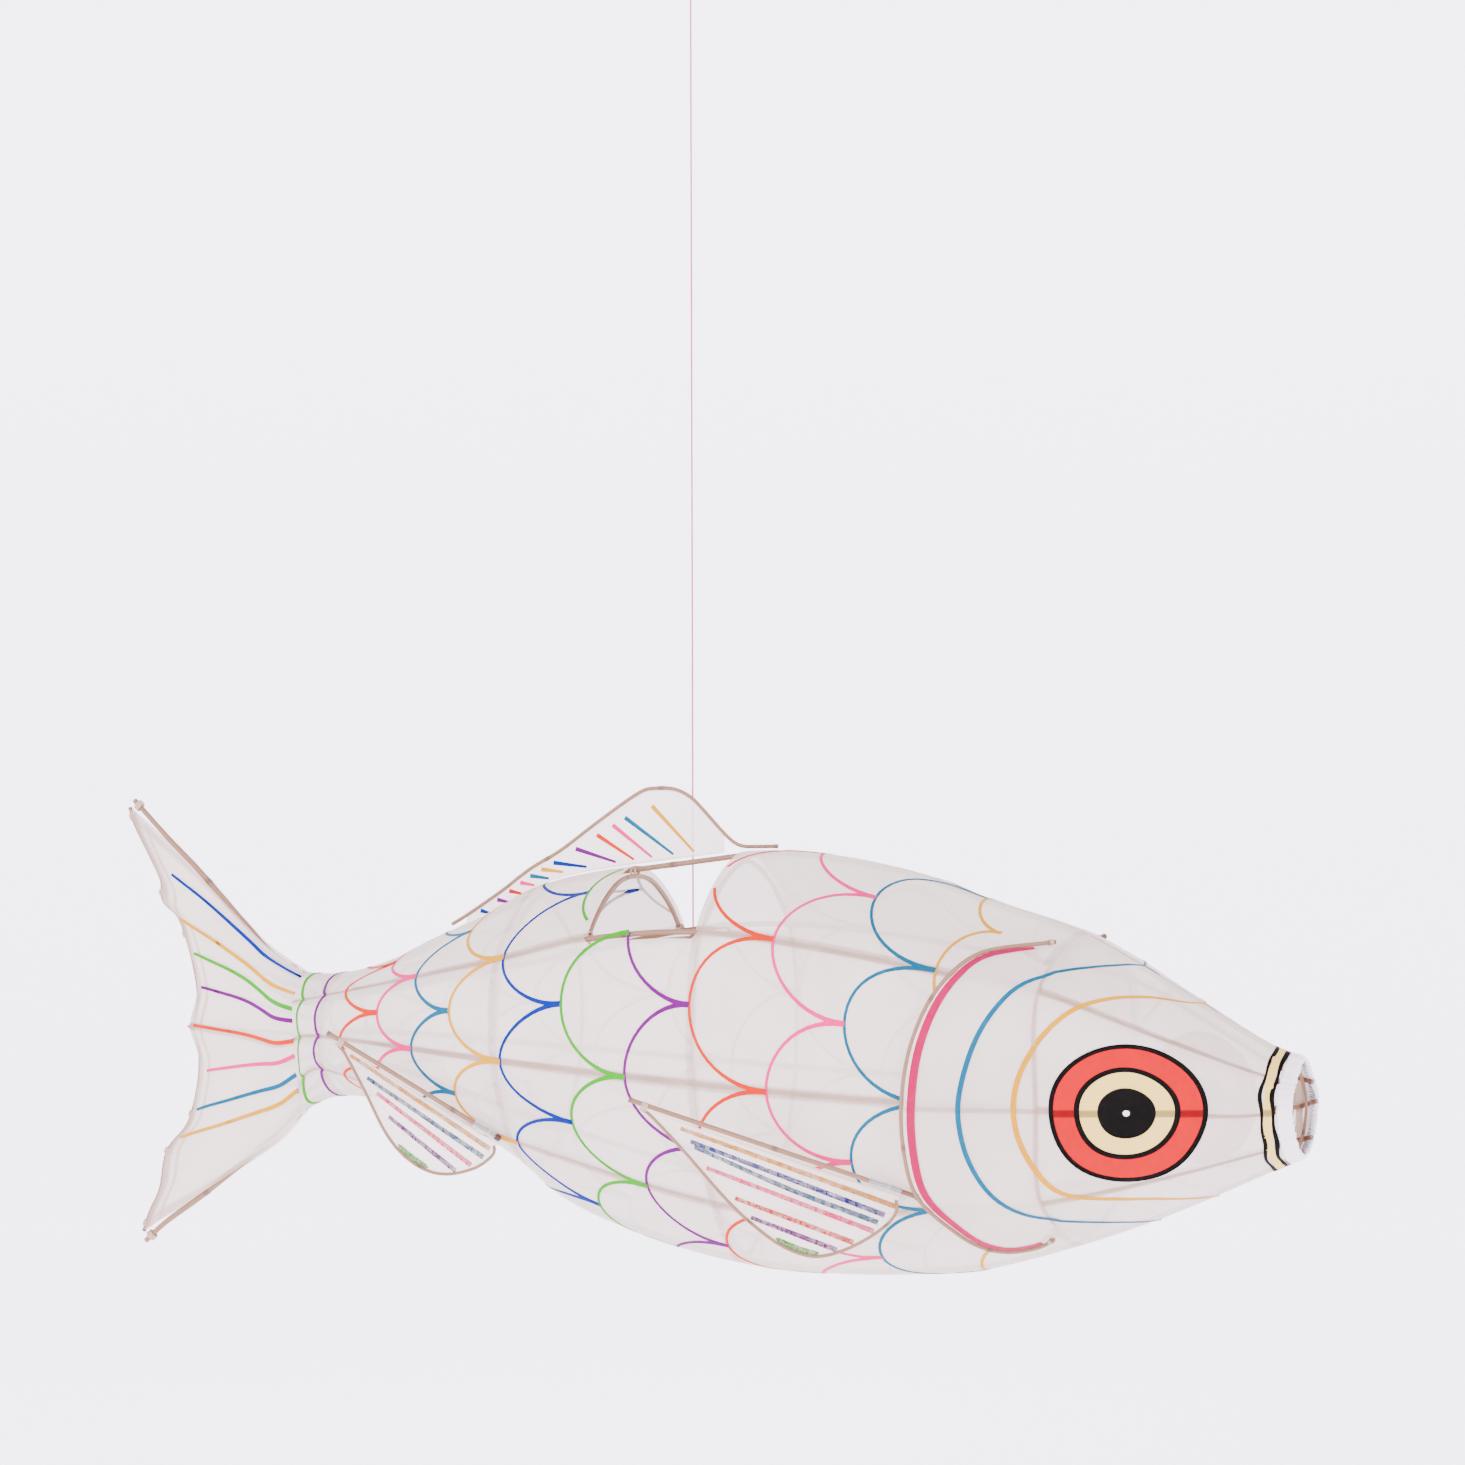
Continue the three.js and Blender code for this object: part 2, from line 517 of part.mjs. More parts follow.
Object.entries(FINS).forEach(([fin, size]) => {
  [["right", 1], ["left", -1]].forEach(([side, hand]) => {
    const there = (p) => (hand > 0 ? p.clone() : mirrorY(p));
    const rear = there(size.rear);
    const forward = there(size.front).sub(rear).normalize();
    const level = new THREE.Vector3(forward.y, -forward.x, 0).normalize();
    const down = level.clone().cross(forward).normalize();
    if (down.z > 0) down.negate();
    const placed = new THREE.Group();
    placed.position.copy(rear);
    placed.quaternion.setFromRotationMatrix(
      new THREE.Matrix4().makeBasis(forward, down.clone().cross(forward), down),
    );
    body.add(placed);
    const name = `${side}_${fin}`;
    const rim = through(size.rim.map(([a, b]) => at(a, b)));
    const edge = rim.getSpacedPoints(18);
    const inset = edge.map((p, i) => {
      const a = edge[Math.max(i - 1, 0)];
      const b = edge[Math.min(i + 1, edge.length - 1)];
      const run = b.clone().sub(a).normalize();
      return { x: p.x + run.z * (RIM_R + GAP), z: p.z - run.x * (RIM_R + GAP) };
    }).filter((p) => p.z > SLEEVE_R + GAP + 1.4);
    const top = SLEEVE_R + GAP + 0.2;
    const outline = [{ x: inset[0].x + 3, z: top }, ...inset,
      { x: inset[inset.length - 1].x - 1, z: top }];
    add(`${name}_spar`, bar(SPAR_R, -7, size.spar), "bamboo", placed);
    add(`${name}_rim`, rod(rim, RIM_R, 18), "bamboo", placed);
    add(`${name}_membrane`, flatSilk(outline), "silk", placed);
    add(`${name}_sleeve`, tube(SPAR_R + GAP, SLEEVE_R, ...size.sleeve), "clear_sleeve", placed);
    add(`${name}_stub`, bar(SPAR_R, size.spar + 2, size.stub), "bare_bamboo", placed);
  });
});

// Hanging gear: a bar across the hatch under the upper splints, the cord tied round it, the cord,
// its top loop and a split ring
const BAR_R = 2;
const barZ = upperZ(0) - SILK - 3 * GAP - 2 * splintR(0) - BAR_R - 1;
const barEnd = upperY(0) - 4;
add(
  "hanging_bar",
  new THREE.CylinderGeometry(BAR_R, BAR_R, 2 * barEnd, 8).translate(0, 0, barZ),
  "bamboo",
  body,
);
const TIE_R = 0.9;
const tie = new THREE.TorusGeometry(BAR_R + GAP + TIE_R, TIE_R, 6, 16);
add("cord_tie", tie.rotateX(Math.PI / 2).translate(0, CORD_SIDE, barZ), "string", body);

const RING_R = 9;
const RING_WIRE = 1;
const LOOP_R = 5;
const LOOP_CORD = 0.8;
const RING_Z = -RING_R - RING_WIRE;
const ringFoot = RING_Z - RING_R; // middle of the wire at the ring's lowest point
const LOOP_Z = ringFoot - LOOP_R + RING_WIRE + LOOP_CORD + GAP;
add(
  "hang_ring",
  new THREE.TorusGeometry(RING_R, RING_WIRE, 6, 18).rotateX(Math.PI / 2).translate(0, 0, RING_Z),
  "metal",
);
add(
  "cord_loop",
  new THREE.TorusGeometry(LOOP_R, LOOP_CORD, 6, 16).rotateY(Math.PI / 2).translate(0, 0, LOOP_Z),
  "string",
);
const cordTop = LOOP_Z - LOOP_R - LOOP_CORD - GAP;
const cordFoot = DATUM + barZ + BAR_R + GAP + 2 * TIE_R + GAP;
add(
  "hanging_cord",
  rod(new THREE.LineCurve3(
    new THREE.Vector3(0, (CORD_SIDE * cordTop) / cordFoot, cordTop),
    new THREE.Vector3(0, CORD_SIDE, cordFoot),
  ), CORD_R, 24, 8),
  "string",
);

export default carp;
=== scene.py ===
import json
from math import cos, floor, pi, radians, sin

import bmesh
import bpy
import numpy as np
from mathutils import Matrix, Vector, noise


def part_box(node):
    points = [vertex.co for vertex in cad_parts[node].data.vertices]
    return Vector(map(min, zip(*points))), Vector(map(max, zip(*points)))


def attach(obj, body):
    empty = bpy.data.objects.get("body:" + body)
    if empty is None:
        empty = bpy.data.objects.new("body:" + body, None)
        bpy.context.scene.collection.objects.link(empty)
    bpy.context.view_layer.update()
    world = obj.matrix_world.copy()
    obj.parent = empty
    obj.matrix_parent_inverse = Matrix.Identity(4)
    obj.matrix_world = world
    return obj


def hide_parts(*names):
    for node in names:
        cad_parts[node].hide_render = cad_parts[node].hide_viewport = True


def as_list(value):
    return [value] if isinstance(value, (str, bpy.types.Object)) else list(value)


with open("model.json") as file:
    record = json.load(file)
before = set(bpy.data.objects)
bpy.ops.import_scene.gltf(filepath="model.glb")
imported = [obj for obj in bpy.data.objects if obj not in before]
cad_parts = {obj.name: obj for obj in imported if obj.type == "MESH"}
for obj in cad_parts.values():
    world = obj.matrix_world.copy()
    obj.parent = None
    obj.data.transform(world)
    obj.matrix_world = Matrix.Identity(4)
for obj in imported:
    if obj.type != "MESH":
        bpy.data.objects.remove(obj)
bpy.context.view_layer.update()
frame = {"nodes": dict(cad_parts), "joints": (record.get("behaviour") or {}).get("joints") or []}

# Camera and room: the fish hangs in a pale round room, open to a white sky, with soft daylight
# from above and in front. The floor turns up into the wall, so no edge shows behind the silk.
MM = 0.001
CAMERA_TURN = radians(24)
CAMERA_PLACE = (1.6576, -3.6405, -0.625)
CAMERA_LENS = 122.9
lens = bpy.data.cameras.new("camera")
lens.lens = CAMERA_LENS
lens.sensor_width = 36
camera = bpy.data.objects.new("camera", lens)
camera.location = CAMERA_PLACE
camera.rotation_euler = (pi / 2, 0, CAMERA_TURN)
bpy.context.scene.collection.objects.link(camera)
bpy.context.scene.camera = camera


def dye(red, green, blue):
    """A colour given as it looks, from 0 to 255, as the light that it sends back."""
    looks = [value / 255 for value in (red, green, blue)]
    return [v / 12.92 if v < 0.04 else ((v + 0.055) / 1.055) ** 2.4 for v in looks] + [1]


class Shade:
    """A value in a material. Sums, differences and products of it add their own nodes."""

    def __init__(self, tree, socket=None):
        self.tree = tree
        self.socket = socket

    def node(self, kind, settings=None, sockets=None, out=0):
        made = self.tree.nodes.new("ShaderNode" + kind)
        for key, value in (settings or {}).items():
            setattr(made, key, value)
        for key, value in (sockets or {}).items():
            if isinstance(value, Shade):
                self.tree.links.new(value.socket, made.inputs[key])
            else:
                made.inputs[key].default_value = value
        return Shade(self.tree, made.outputs[out] if made.outputs else None)

    def maths(self, operation, *values):
        return self.node("Math", {"operation": operation}, dict(enumerate(values)))

    def alone(self, operation):
        return self.maths(operation, self)

    def mix(self, share, first, second):
        sockets = {0: share, 6: first, 7: second}
        return self.node("Mix", {"data_type": "RGBA"}, sockets, out=2)

    def noise(self, place, scale, detail=3.0, rough=0.5):
        sockets = {"Vector": place, "Scale": scale, "Detail": detail, "Roughness": rough}
        return self.node("TexNoise", {}, sockets)

    def stretch(self, place, scale):
        return self.node("Mapping", {}, {"Vector": place, "Scale": scale})

    def bump(self, height, strength, distance):
        sockets = {"Height": height, "Strength": strength, "Distance": distance}
        return self.node("Bump", {}, sockets)

    def __add__(self, other):
        return self.maths("ADD", self, other)

    __radd__ = __add__

    def __sub__(self, other):
        return self.maths("SUBTRACT", self, other)

    def __rsub__(self, other):
        return self.maths("SUBTRACT", other, self)

    def __mul__(self, other):
        return self.maths("MULTIPLY", self, other)

    __rmul__ = __mul__


def finish(name):
    """A new, empty material, and the shade that its nodes are made from."""
    material = bpy.data.materials.new(name)
    material.use_nodes = True
    material.node_tree.nodes.clear()
    return material, Shade(material.node_tree)


FLOOR = -1.6
ROOM = 8.0
ROOM_TOP = 7.0
ROOM_TURN_UP = 2.2
room_wall, paint = finish("pale_room")
speck = paint.noise(paint.node("TexCoord", out=3), 0.7)
paint.node("OutputMaterial", {}, {"Surface": paint.node("BsdfPrincipled", {}, {
    "Base Color": paint.mix(speck * 0.2, dye(250, 249, 252), dye(244, 242, 248)),
    "Roughness": 0.95,
    "Emission Color": dye(246, 238, 252),
    "Emission Strength": 1.9,
})})
bm = bmesh.new()
outline = [(0.0, 0.0), (ROOM - ROOM_TURN_UP, 0.0)]
for step in range(1, 13):
    angle = step / 12 * pi / 2
    outline.append((ROOM - ROOM_TURN_UP * (1 - sin(angle)), ROOM_TURN_UP * (1 - cos(angle))))
outline.append((ROOM, ROOM_TOP))
corners = [bm.verts.new((r, 0, FLOOR + z)) for r, z in outline]
profile = [bm.edges.new(pair) for pair in zip(corners, corners[1:])]
bmesh.ops.spin(bm, geom=corners + profile, cent=(0, 0, 0), axis=(0, 0, 1), angle=2 * pi,
               steps=96, use_merge=True)
bmesh.ops.remove_doubles(bm, verts=bm.verts, dist=MM)
bmesh.ops.recalc_face_normals(bm, faces=bm.faces)
bmesh.ops.reverse_faces(bm, faces=bm.faces)
shell = bpy.data.meshes.new("room")
bm.to_mesh(shell)
shell.shade_smooth()
shell.materials.append(room_wall)
room = bpy.data.objects.new("room", shell)
bpy.context.scene.collection.objects.link(room)

sky = bpy.data.worlds.new("sky")
sky.use_nodes = True
sky.node_tree.nodes["Background"].inputs["Color"].default_value = dye(250, 250, 255)
sky.node_tree.nodes["Background"].inputs["Strength"].default_value = 1.2
bpy.context.scene.world = sky


def lamp(name, place, target, size, power, tint):
    light = bpy.data.lights.new(name, "AREA")
    light.shape = "DISK"
    light.size = size
    light.energy = power
    light.color = dye(*tint)[:3]
    holder = bpy.data.objects.new(name, light)
    holder.location = place
    holder.rotation_euler = (Vector(target) - Vector(place)).to_track_quat("-Z", "Y").to_euler()
    bpy.context.scene.collection.objects.link(holder)


FISH_MIDDLE = (0.0, 0.0, -0.9)
lamp("key", (-0.9, -2.6, 1.9), FISH_MIDDLE, 2.4, 95, (255, 252, 248))
lamp("fill", (3.2, -1.6, 0.2), FISH_MIDDLE, 3.0, 28, (250, 250, 255))
lamp("back", (-1.5, 2.8, 0.9), FISH_MIDDLE, 3.0, 45, (255, 253, 255))


# Hanging string: two pink strands laid together, tied to a bar across the open back of the fish
# and knotted to a small loop on a split ring at the top. It hangs dead straight, so it is taut.
STRING = 1.3 * MM
STRING_TOP = (0, 0.18 * MM, -28.0 * MM)
STRING_FOOT = (0, 5.0 * MM, -784.86 * MM)
STRING_POINTS = 24
STRAND_TURN = 2.4 * MM
string_dye, cotton = finish("pink_string")
lie = cotton.node("TexCoord", out=3)
upward = cotton.node("SeparateXYZ", {}, {0: lie}, out=2)
across = cotton.node("SeparateXYZ", {}, {0: lie}, out=0)
strand = (upward * (2 * pi / STRAND_TURN) + across * 2600.0).alone("SINE") * 0.5 + 0.5
fluff = cotton.noise(lie, 900.0)
# Painted shade: the pink is darker in the grooves between the twisted strands and brighter on their
# crowns, where the bump rises.
tone = cotton.mix(strand, dye(130, 0, 60), dye(206, 4, 104))
cotton.node("OutputMaterial", {}, {"Surface": cotton.node("BsdfPrincipled", {}, {
    "Base Color": cotton.mix(fluff * 0.35, tone, dye(226, 24, 124)),
    "Roughness": 0.75,
    "Sheen Weight": 0.3,
    "Normal": cotton.bump(strand + fluff * 0.3, 0.6, 0.2 * MM),
})})
line = bpy.data.curves.new("string", "CURVE")
line.dimensions = "3D"
line.bevel_depth = STRING / 2
line.bevel_resolution = 3
line.use_fill_caps = True
spline = line.splines.new("POLY")
spline.points.add(STRING_POINTS - 1)
for i, point in enumerate(spline.points):
    share = i / (STRING_POINTS - 1)
    point.co = (*Vector(STRING_FOOT).lerp(Vector(STRING_TOP), share), 1)
line.materials.append(string_dye)
string = bpy.data.objects.new("string", line)
bpy.context.scene.collection.objects.link(string)
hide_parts("hanging_cord")
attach(string, "cord")


def through(points, samples=16):
    """A smooth line through the points: a function that gives its place from 0 to 1."""
    stops = [Vector(p) for p in points]
    knots = [0.0]
    for a, b in zip(stops, stops[1:]):
        knots.append(knots[-1] + (b - a).length ** 0.5)
    last = len(stops) - 1
    slopes = []
    for i in range(last + 1):
        low, high = max(i - 1, 0), min(i + 1, last)
        slopes.append((stops[high] - stops[low]) / (knots[high] - knots[low]))
    places = [stops[0]]
    for i in range(last):
        span = knots[i + 1] - knots[i]
        for k in range(1, samples + 1):
            t = k / samples
            places.append(
                (2 * t ** 3 - 3 * t * t + 1) * stops[i]
                + (t ** 3 - 2 * t * t + t) * span * slopes[i]
                + (3 * t * t - 2 * t ** 3) * stops[i + 1]
                + (t ** 3 - t * t) * span * slopes[i + 1])
    table = np.array(places)
    run = np.concatenate([[0], np.cumsum(np.linalg.norm(np.diff(table, axis=0), axis=1))])
    run /= run[-1]
    return lambda t: Vector([float(np.interp(t, run, table[:, k])) for k in range(3)])


def rod(bm, place, section, up=(0, 0, 1), around=8, step=5 * MM, square=1.0, knuckles=0.0):
    """Adds a rod along a line. Its section is a radius, a rule for it, or half its width and
    half its depth."""
    up = Vector(up)
    uv = bm.loops.layers.uv.verify()
    spots = [place(i / 40) for i in range(41)]
    length = sum((b - a).length for a, b in zip(spots, spots[1:]))
    count = max(2, round(length / step))
    rings = []
    for i in range(count + 1):
        t = i / count
        run = (place(min(t + 0.004, 1)) - place(max(t - 0.004, 0))).normalized()
        out = (up - run * up.dot(run)).normalized()
        swell = 1.0
        if knuckles:
            off = (t * length / knuckles + 0.5) % 1 - 0.5
            swell += 0.16 * 2.7 ** -((off * knuckles / (2.6 * MM)) ** 2)
        size = section(t) if callable(section) else section
        wide, deep = size if isinstance(size, tuple) else (size, size)
        rings.append((place(t), out * deep * swell, run.cross(out) * wide * swell))
    made = bmesh.ops.create_grid(bm, x_segments=count, y_segments=around, size=1.0)["verts"]
    for v in made:
        u, w = (v.co.x + 1) / 2, (v.co.y + 1) / 2
        for loop in v.link_loops:
            loop[uv].uv = (u * length, w * around)
        middle, out, side = rings[round(u * count)]
        x, y = cos(2 * pi * w), sin(2 * pi * w)
        x, y = [abs(q) ** square * (1 if q > 0 else -1) for q in (x, y)]
        v.co = middle + out * x + side * y


def piece(name, bm, material, body, nodes=(), solid=True):
    """Closes a mesh, turns its faces out, and puts it on its body with its finish."""
    if solid:
        bmesh.ops.remove_doubles(bm, verts=bm.verts, dist=0.002 * MM)
        bmesh.ops.holes_fill(bm, edges=[e for e in bm.edges if e.is_boundary])
        bmesh.ops.recalc_face_normals(bm, faces=bm.faces)
    mesh = bpy.data.meshes.new(name)
    bm.to_mesh(mesh)
    bm.free()
    mesh.shade_smooth()
    mesh.set_sharp_from_angle(angle=radians(50))
    mesh.materials.append(material)
    made = bpy.data.objects.new(name, mesh)
    bpy.context.scene.collection.objects.link(made)
    if nodes:
        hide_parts(*nodes)
    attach(made, body)
    return made


# Ends of the string: three turns and a knot round the bar below, and above a small open loop whose
# knot bites the string, on a ring of steel wire.
bar_low, bar_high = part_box("hanging_bar")
BAR_AXIS = (bar_low + bar_high) / 2
BAR_RADIUS = (bar_high.z - bar_low.z) / 2
KNOT = 1.5 * MM
bm = bmesh.new()
TIE_TURNS = 3
wrap_radius = BAR_RADIUS + STRING / 2


def tie_turn(t):
    angle = t * TIE_TURNS * 2 * pi
    slide = STRING_FOOT[1] + (t - 0.5) * TIE_TURNS * STRING
    return Vector((wrap_radius * sin(angle), slide, BAR_AXIS.z + wrap_radius * cos(angle)))


def knot_turn(middle, size):
    def place(t):
        a = 2 * pi * t
        reach = Vector((sin(a) + 2 * sin(2 * a), -sin(3 * a), cos(a) - 2 * cos(2 * a)))
        return Vector(middle) + reach * size / 3
    return place


rod(bm, tie_turn, STRING / 2, up=(0, 1, 0), step=0.6 * MM)
rod(bm, knot_turn(STRING_FOOT, KNOT * 1.1), STRING / 2.2, up=(0, 1, 0.1), step=0.5 * MM)
for hand in (-1, 1):
    foot = Vector((0, STRING_FOOT[1] + hand * MM, BAR_AXIS.z + wrap_radius))
    tail = [foot, foot + Vector((3, 1.5 * hand, 0.5)) * MM, foot + Vector((6, 4 * hand, -3)) * MM]
    rod(bm, through(tail), STRING / 2.4, step=1.5 * MM)
tie = piece("string_tie", bm, string_dye, "cord", ["cord_tie"])

loop_low, loop_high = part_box("cord_loop")
LOOP_MIDDLE = (loop_low + loop_high) / 2
LOOP_HIGH = (loop_high.z - loop_low.z) / 2 - STRING / 2
LOOP_WIDE = 3.6 * MM
bm = bmesh.new()


def loop_turn(t):
    a = 2 * pi * t
    pinch = 0.75 + 0.25 * cos(a)
    return LOOP_MIDDLE + Vector((0, LOOP_WIDE * pinch * sin(a), LOOP_HIGH * cos(a)))


rod(bm, loop_turn, STRING / 2, up=(1, 0, 0), step=0.8 * MM)
knot_place = (0, 0, loop_low.z + STRING / 2)
rod(bm, knot_turn(knot_place, KNOT), STRING / 2.2, up=(0, 1, 0.1), step=0.5 * MM)
top_loop = piece("string_loop", bm, string_dye, "loop", ["cord_loop"])

RING_WIRE = 0.95 * MM
ring_low, ring_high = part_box("hang_ring")
RING_MIDDLE = (ring_low + ring_high) / 2
RING_RADIUS = (ring_high.x - ring_low.x) / 2 - RING_WIRE
steel, wire = finish("ring_steel")
grain = wire.noise(wire.node("TexCoord", out=3), 700.0)
wire.node("OutputMaterial", {}, {"Surface": wire.node("BsdfPrincipled", {}, {
    "Base Color": wire.mix(grain, dye(176, 176, 180), dye(206, 206, 208)),
    "Metallic": 1.0,
    "Roughness": grain * 0.2 + 0.18,
    "Normal": wire.bump(grain, 0.15, 0.1 * MM),
})})
bm = bmesh.new()
rod(bm, lambda t: RING_MIDDLE + RING_RADIUS * Vector((sin(2 * pi * t), 0, cos(2 * pi * t))),
    RING_WIRE, up=(0, 1, 0), around=12, step=0.9 * MM)
ring = piece("split_ring", bm, steel, "ring", ["hang_ring"])


# Splints: eight long sticks of split bamboo from the tail to the mouth, each shaved thinner
# towards the mouth, with a knuckle every so often. The silk lies on their outsides.
SPLINTS = ["top_splint", "right_upper_splint", "right_middle_splint", "right_lower_splint",
           "bottom_splint", "left_lower_splint", "left_middle_splint", "left_upper_splint"]
BAYS = len(SPLINTS)
TAIL_END, MOUTH_END = -350 * MM, 509 * MM
SPLINT_THICK, SPLINT_THIN = 2.7 * MM, 1.7 * MM
SILK_LIFT = 0.9 * MM
STATIONS = 31
KNUCKLES = 118 * MM


def crossing(node, x):
    """Middle of a rod where it crosses the plane at x."""
    mesh = frame["nodes"][node].data
    spots = np.array([v.co for v in mesh.vertices])
    ends = spots[np.array([e.vertices[:] for e in mesh.edges])]
    a, b = ends[:, 0], ends[:, 1]
    cut = (a[:, 0] - x) * (b[:, 0] - x) < 0
    a, b = a[cut], b[cut]
    hit = a + (b - a) * ((x - a[:, 0]) / (b[:, 0] - a[:, 0]))[:, None]
    return (hit.min(0) + hit.max(0))[1:] / 2


stations = np.linspace(TAIL_END + 5 * MM, MOUTH_END - 5 * MM, STATIONS)
middles = np.array([[crossing(node, x) for node in SPLINTS] for x in stations])


def splint_radius(x):
    return SPLINT_THICK + (SPLINT_THIN - SPLINT_THICK) * (x - TAIL_END) / (MOUTH_END - TAIL_END)


outsides = middles.copy()
for k, x in enumerate(stations):
    chord = np.roll(middles[k], -1, axis=0) - np.roll(middles[k], 1, axis=0)
    away = np.stack([chord[:, 1], -chord[:, 0]], axis=1)
    away /= np.linalg.norm(away, axis=1)[:, None]
    hub = middles[k].mean(axis=0)
    away *= np.sign(((middles[k] - hub) * away).sum(axis=1))[:, None]
    outsides[k] += away * (splint_radius(x) + SILK_LIFT)


def curve_weights(t):
    """How much each of four neighbours counts on a smooth line, between the middle two."""
    return np.array([
        -t + 2 * t * t - t ** 3, 2 - 5 * t * t + 3 * t ** 3, t + 4 * t * t - 3 * t ** 3,
        t ** 3 - t * t]) / 2


def at_station(table, x):
    place = (x - stations[0]) / (stations[1] - stations[0])
    k = min(max(floor(place), 1), STATIONS - 3)
    return np.tensordot(curve_weights(place - k), table[k - 1:k + 3], 1)


def on_frame(x, s):
    """Where the silk would lie with no slack, x along the fish and s bays round from the top."""
    ring = at_station(outsides, x)
    i = floor(s)
    y, z = curve_weights(s - i) @ ring[[(i + k) % BAYS for k in (-1, 0, 1, 2)]]
    return Vector((x, y, z))


def outward(x, s):
    along = on_frame(x + MM, s) - on_frame(x - MM, s)
    return (on_frame(x, s + 0.02) - on_frame(x, s - 0.02)).cross(along).normalized() * TURN


# The cross product can point in or out, so TURN is set from a place on the back, where out is up.
TURN = 1
TURN = 1 if outward(0.1, 0.01).z > 0 else -1
SLACK = 1.1 * MM


def silk(x, s, lift=0.0):
    """The silk itself: drawn tight on the splints, and a little slack and puckered between."""
    pucker = 0.45 + 0.9 * noise.noise(Vector((x * 13, s * 1.7, 3.0)))
    sag = SLACK * sin(pi * s) ** 2 * pucker + 0.25 * MM * sin(pi * s) * noise.noise(
        Vector((x * 90, s * 5, 1.0)))
    return on_frame(x, s) + outward(x, s) * (lift - sag)


def fibre(name, pale, deep, node_tone):
    """Split bamboo: long fibres, slightly glossy where the skin is left, darker at knuckles."""
    material, stick = finish(name)
    place = stick.node("UVMap")
    fibres = stick.noise(stick.stretch(place, (18, 2.2, 1)), 1.0, 5.0, 0.65)
    fine = stick.noise(stick.stretch(place, (60, 9, 1)), 1.0, 2.0)
    blotch = stick.noise(stick.node("TexCoord", out=3), 22.0, 2.0)
    split = stick.node("SeparateXYZ", {}, {0: place})
    ridge = (split * (1 / KNUCKLES) + 0.5).alone("FRACT") - 0.5
    ridge = 1 - ridge.alone("ABSOLUTE") * (KNUCKLES / (4 * MM))
    ridge = ridge.node("Clamp", {}, {0: ridge})
    tone = stick.mix(fibres, pale, deep)
    tone = stick.mix(fine * 0.35, tone, deep)
    tone = stick.mix(blotch * 0.3, tone, pale)
    stick.node("OutputMaterial", {}, {"Surface": stick.node("BsdfPrincipled", {}, {
        "Base Color": stick.mix(ridge * 0.7, tone, node_tone),
        "Roughness": fibres * 0.3 + 0.38,
        "Normal": stick.bump(fibres * 0.7 + fine * 0.5, 0.35, 0.25 * MM),
    })})
    return material


bamboo = fibre("split_bamboo", dye(146, 108, 78), dye(98, 66, 44), dye(62, 38, 24))
bare_bamboo = fibre("bare_bamboo", dye(124, 82, 54), dye(88, 54, 34), dye(60, 36, 22))


def splint_place(i):
    def place(t):
        x = TAIL_END + t * (MOUTH_END - TAIL_END)
        y, z = at_station(middles[:, i], x)
        return Vector((x, y, z))
    return place


for i, node in enumerate(SPLINTS):
    bm = bmesh.new()
    rod(bm, splint_place(i), lambda t: splint_radius(TAIL_END + t * (MOUTH_END - TAIL_END)),
        up=(0, 0.3, 1), step=4 * MM, knuckles=KNUCKLES)
    piece(node + "_stick", bm, bamboo, "fish", [node])


# Hoops: flat strips of bamboo bent round inside the splints and tied to each one, and an open
# arch behind the hatch in the back, whose feet stop at the upper splints.
HATCH_FRONT, HATCH_REAR = 49 * MM, -49 * MM
HEAD_HOOP, MOUTH_HOOP = 335 * MM, 504 * MM
REAR_HOOP, PEDUNCLE_HOOP = -134 * MM, -313 * MM
STRIP = (2.0 * MM, 1.5 * MM)
THIN_STRIP = (1.5 * MM, 1.05 * MM)
TIE_ROOM = 1.4 * MM
HOOPS = [
    ("mouth_hoop", MOUTH_HOOP, THIN_STRIP, 1.4 * MM),
    ("head_hoop", HEAD_HOOP, STRIP, 0.0),
    ("trunk_hoop", HATCH_FRONT, STRIP, 0.0),
    ("rear_hoop", REAR_HOOP, STRIP, 0.6 * MM),
    ("peduncle_hoop", PEDUNCLE_HOOP, THIN_STRIP, 0.0),
]
ARCH_FOOT = 0.93
ARCH_DIP = 0.4
ARCH_INSET = 3.9 * MM


def in_hoop(x, s, inset):
    round_hoop = on_frame(x, s + 0.02) - on_frame(x, s - 0.02)
    inward = Vector((0, -round_hoop.z, round_hoop.y)).normalized() * -TURN
    spot = on_frame(x, s)
    return spot + inward * inset * (1 if inward.dot(axis_at(x) - spot) > 0 else -1)


def axis_at(x):
    ring = at_station(middles, x).mean(axis=0)
    return Vector((x, ring[0], ring[1]))


def under_splint(x):
    return SILK_LIFT + 2 * splint_radius(x) + TIE_ROOM


def spun(name, pale, deep, roughness=0.7):
    """Thread, matt, with short twists of light and dark along it."""
    material, cotton = finish(name)
    wraps = cotton.noise(cotton.stretch(cotton.node("UVMap"), (900, 3, 1)), 1.0)
    cotton.node("OutputMaterial", {}, {"Surface": cotton.node("BsdfPrincipled", {}, {
        "Base Color": cotton.mix(wraps, pale, deep),
        "Roughness": roughness,
        "Normal": cotton.bump(wraps, 0.4, 0.1 * MM),
    })})
    return material


thread = spun("binding_thread", dye(206, 178, 160), dye(160, 126, 108))
THREAD = 0.35 * MM


def binding(bm, middle, axis, width, height, turns=5, lean=0.0):
    """Adds turns of thread round a joint of two sticks, seen along the axis."""
    axis = Vector(axis).normalized()
    out = (Vector(height[0]) - axis * axis.dot(Vector(height[0]))).normalized()
    side = axis.cross(out)
    deep = height[1]

    def place(t):
        a = 2 * pi * turns * t
        slide = (t - 0.5) * turns * 2.1 * THREAD + lean * sin(a)
        return middle + axis * slide + out * deep * cos(a) + side * width * sin(a)
    rod(bm, place, THREAD, up=axis, around=5, step=1.3 * MM)


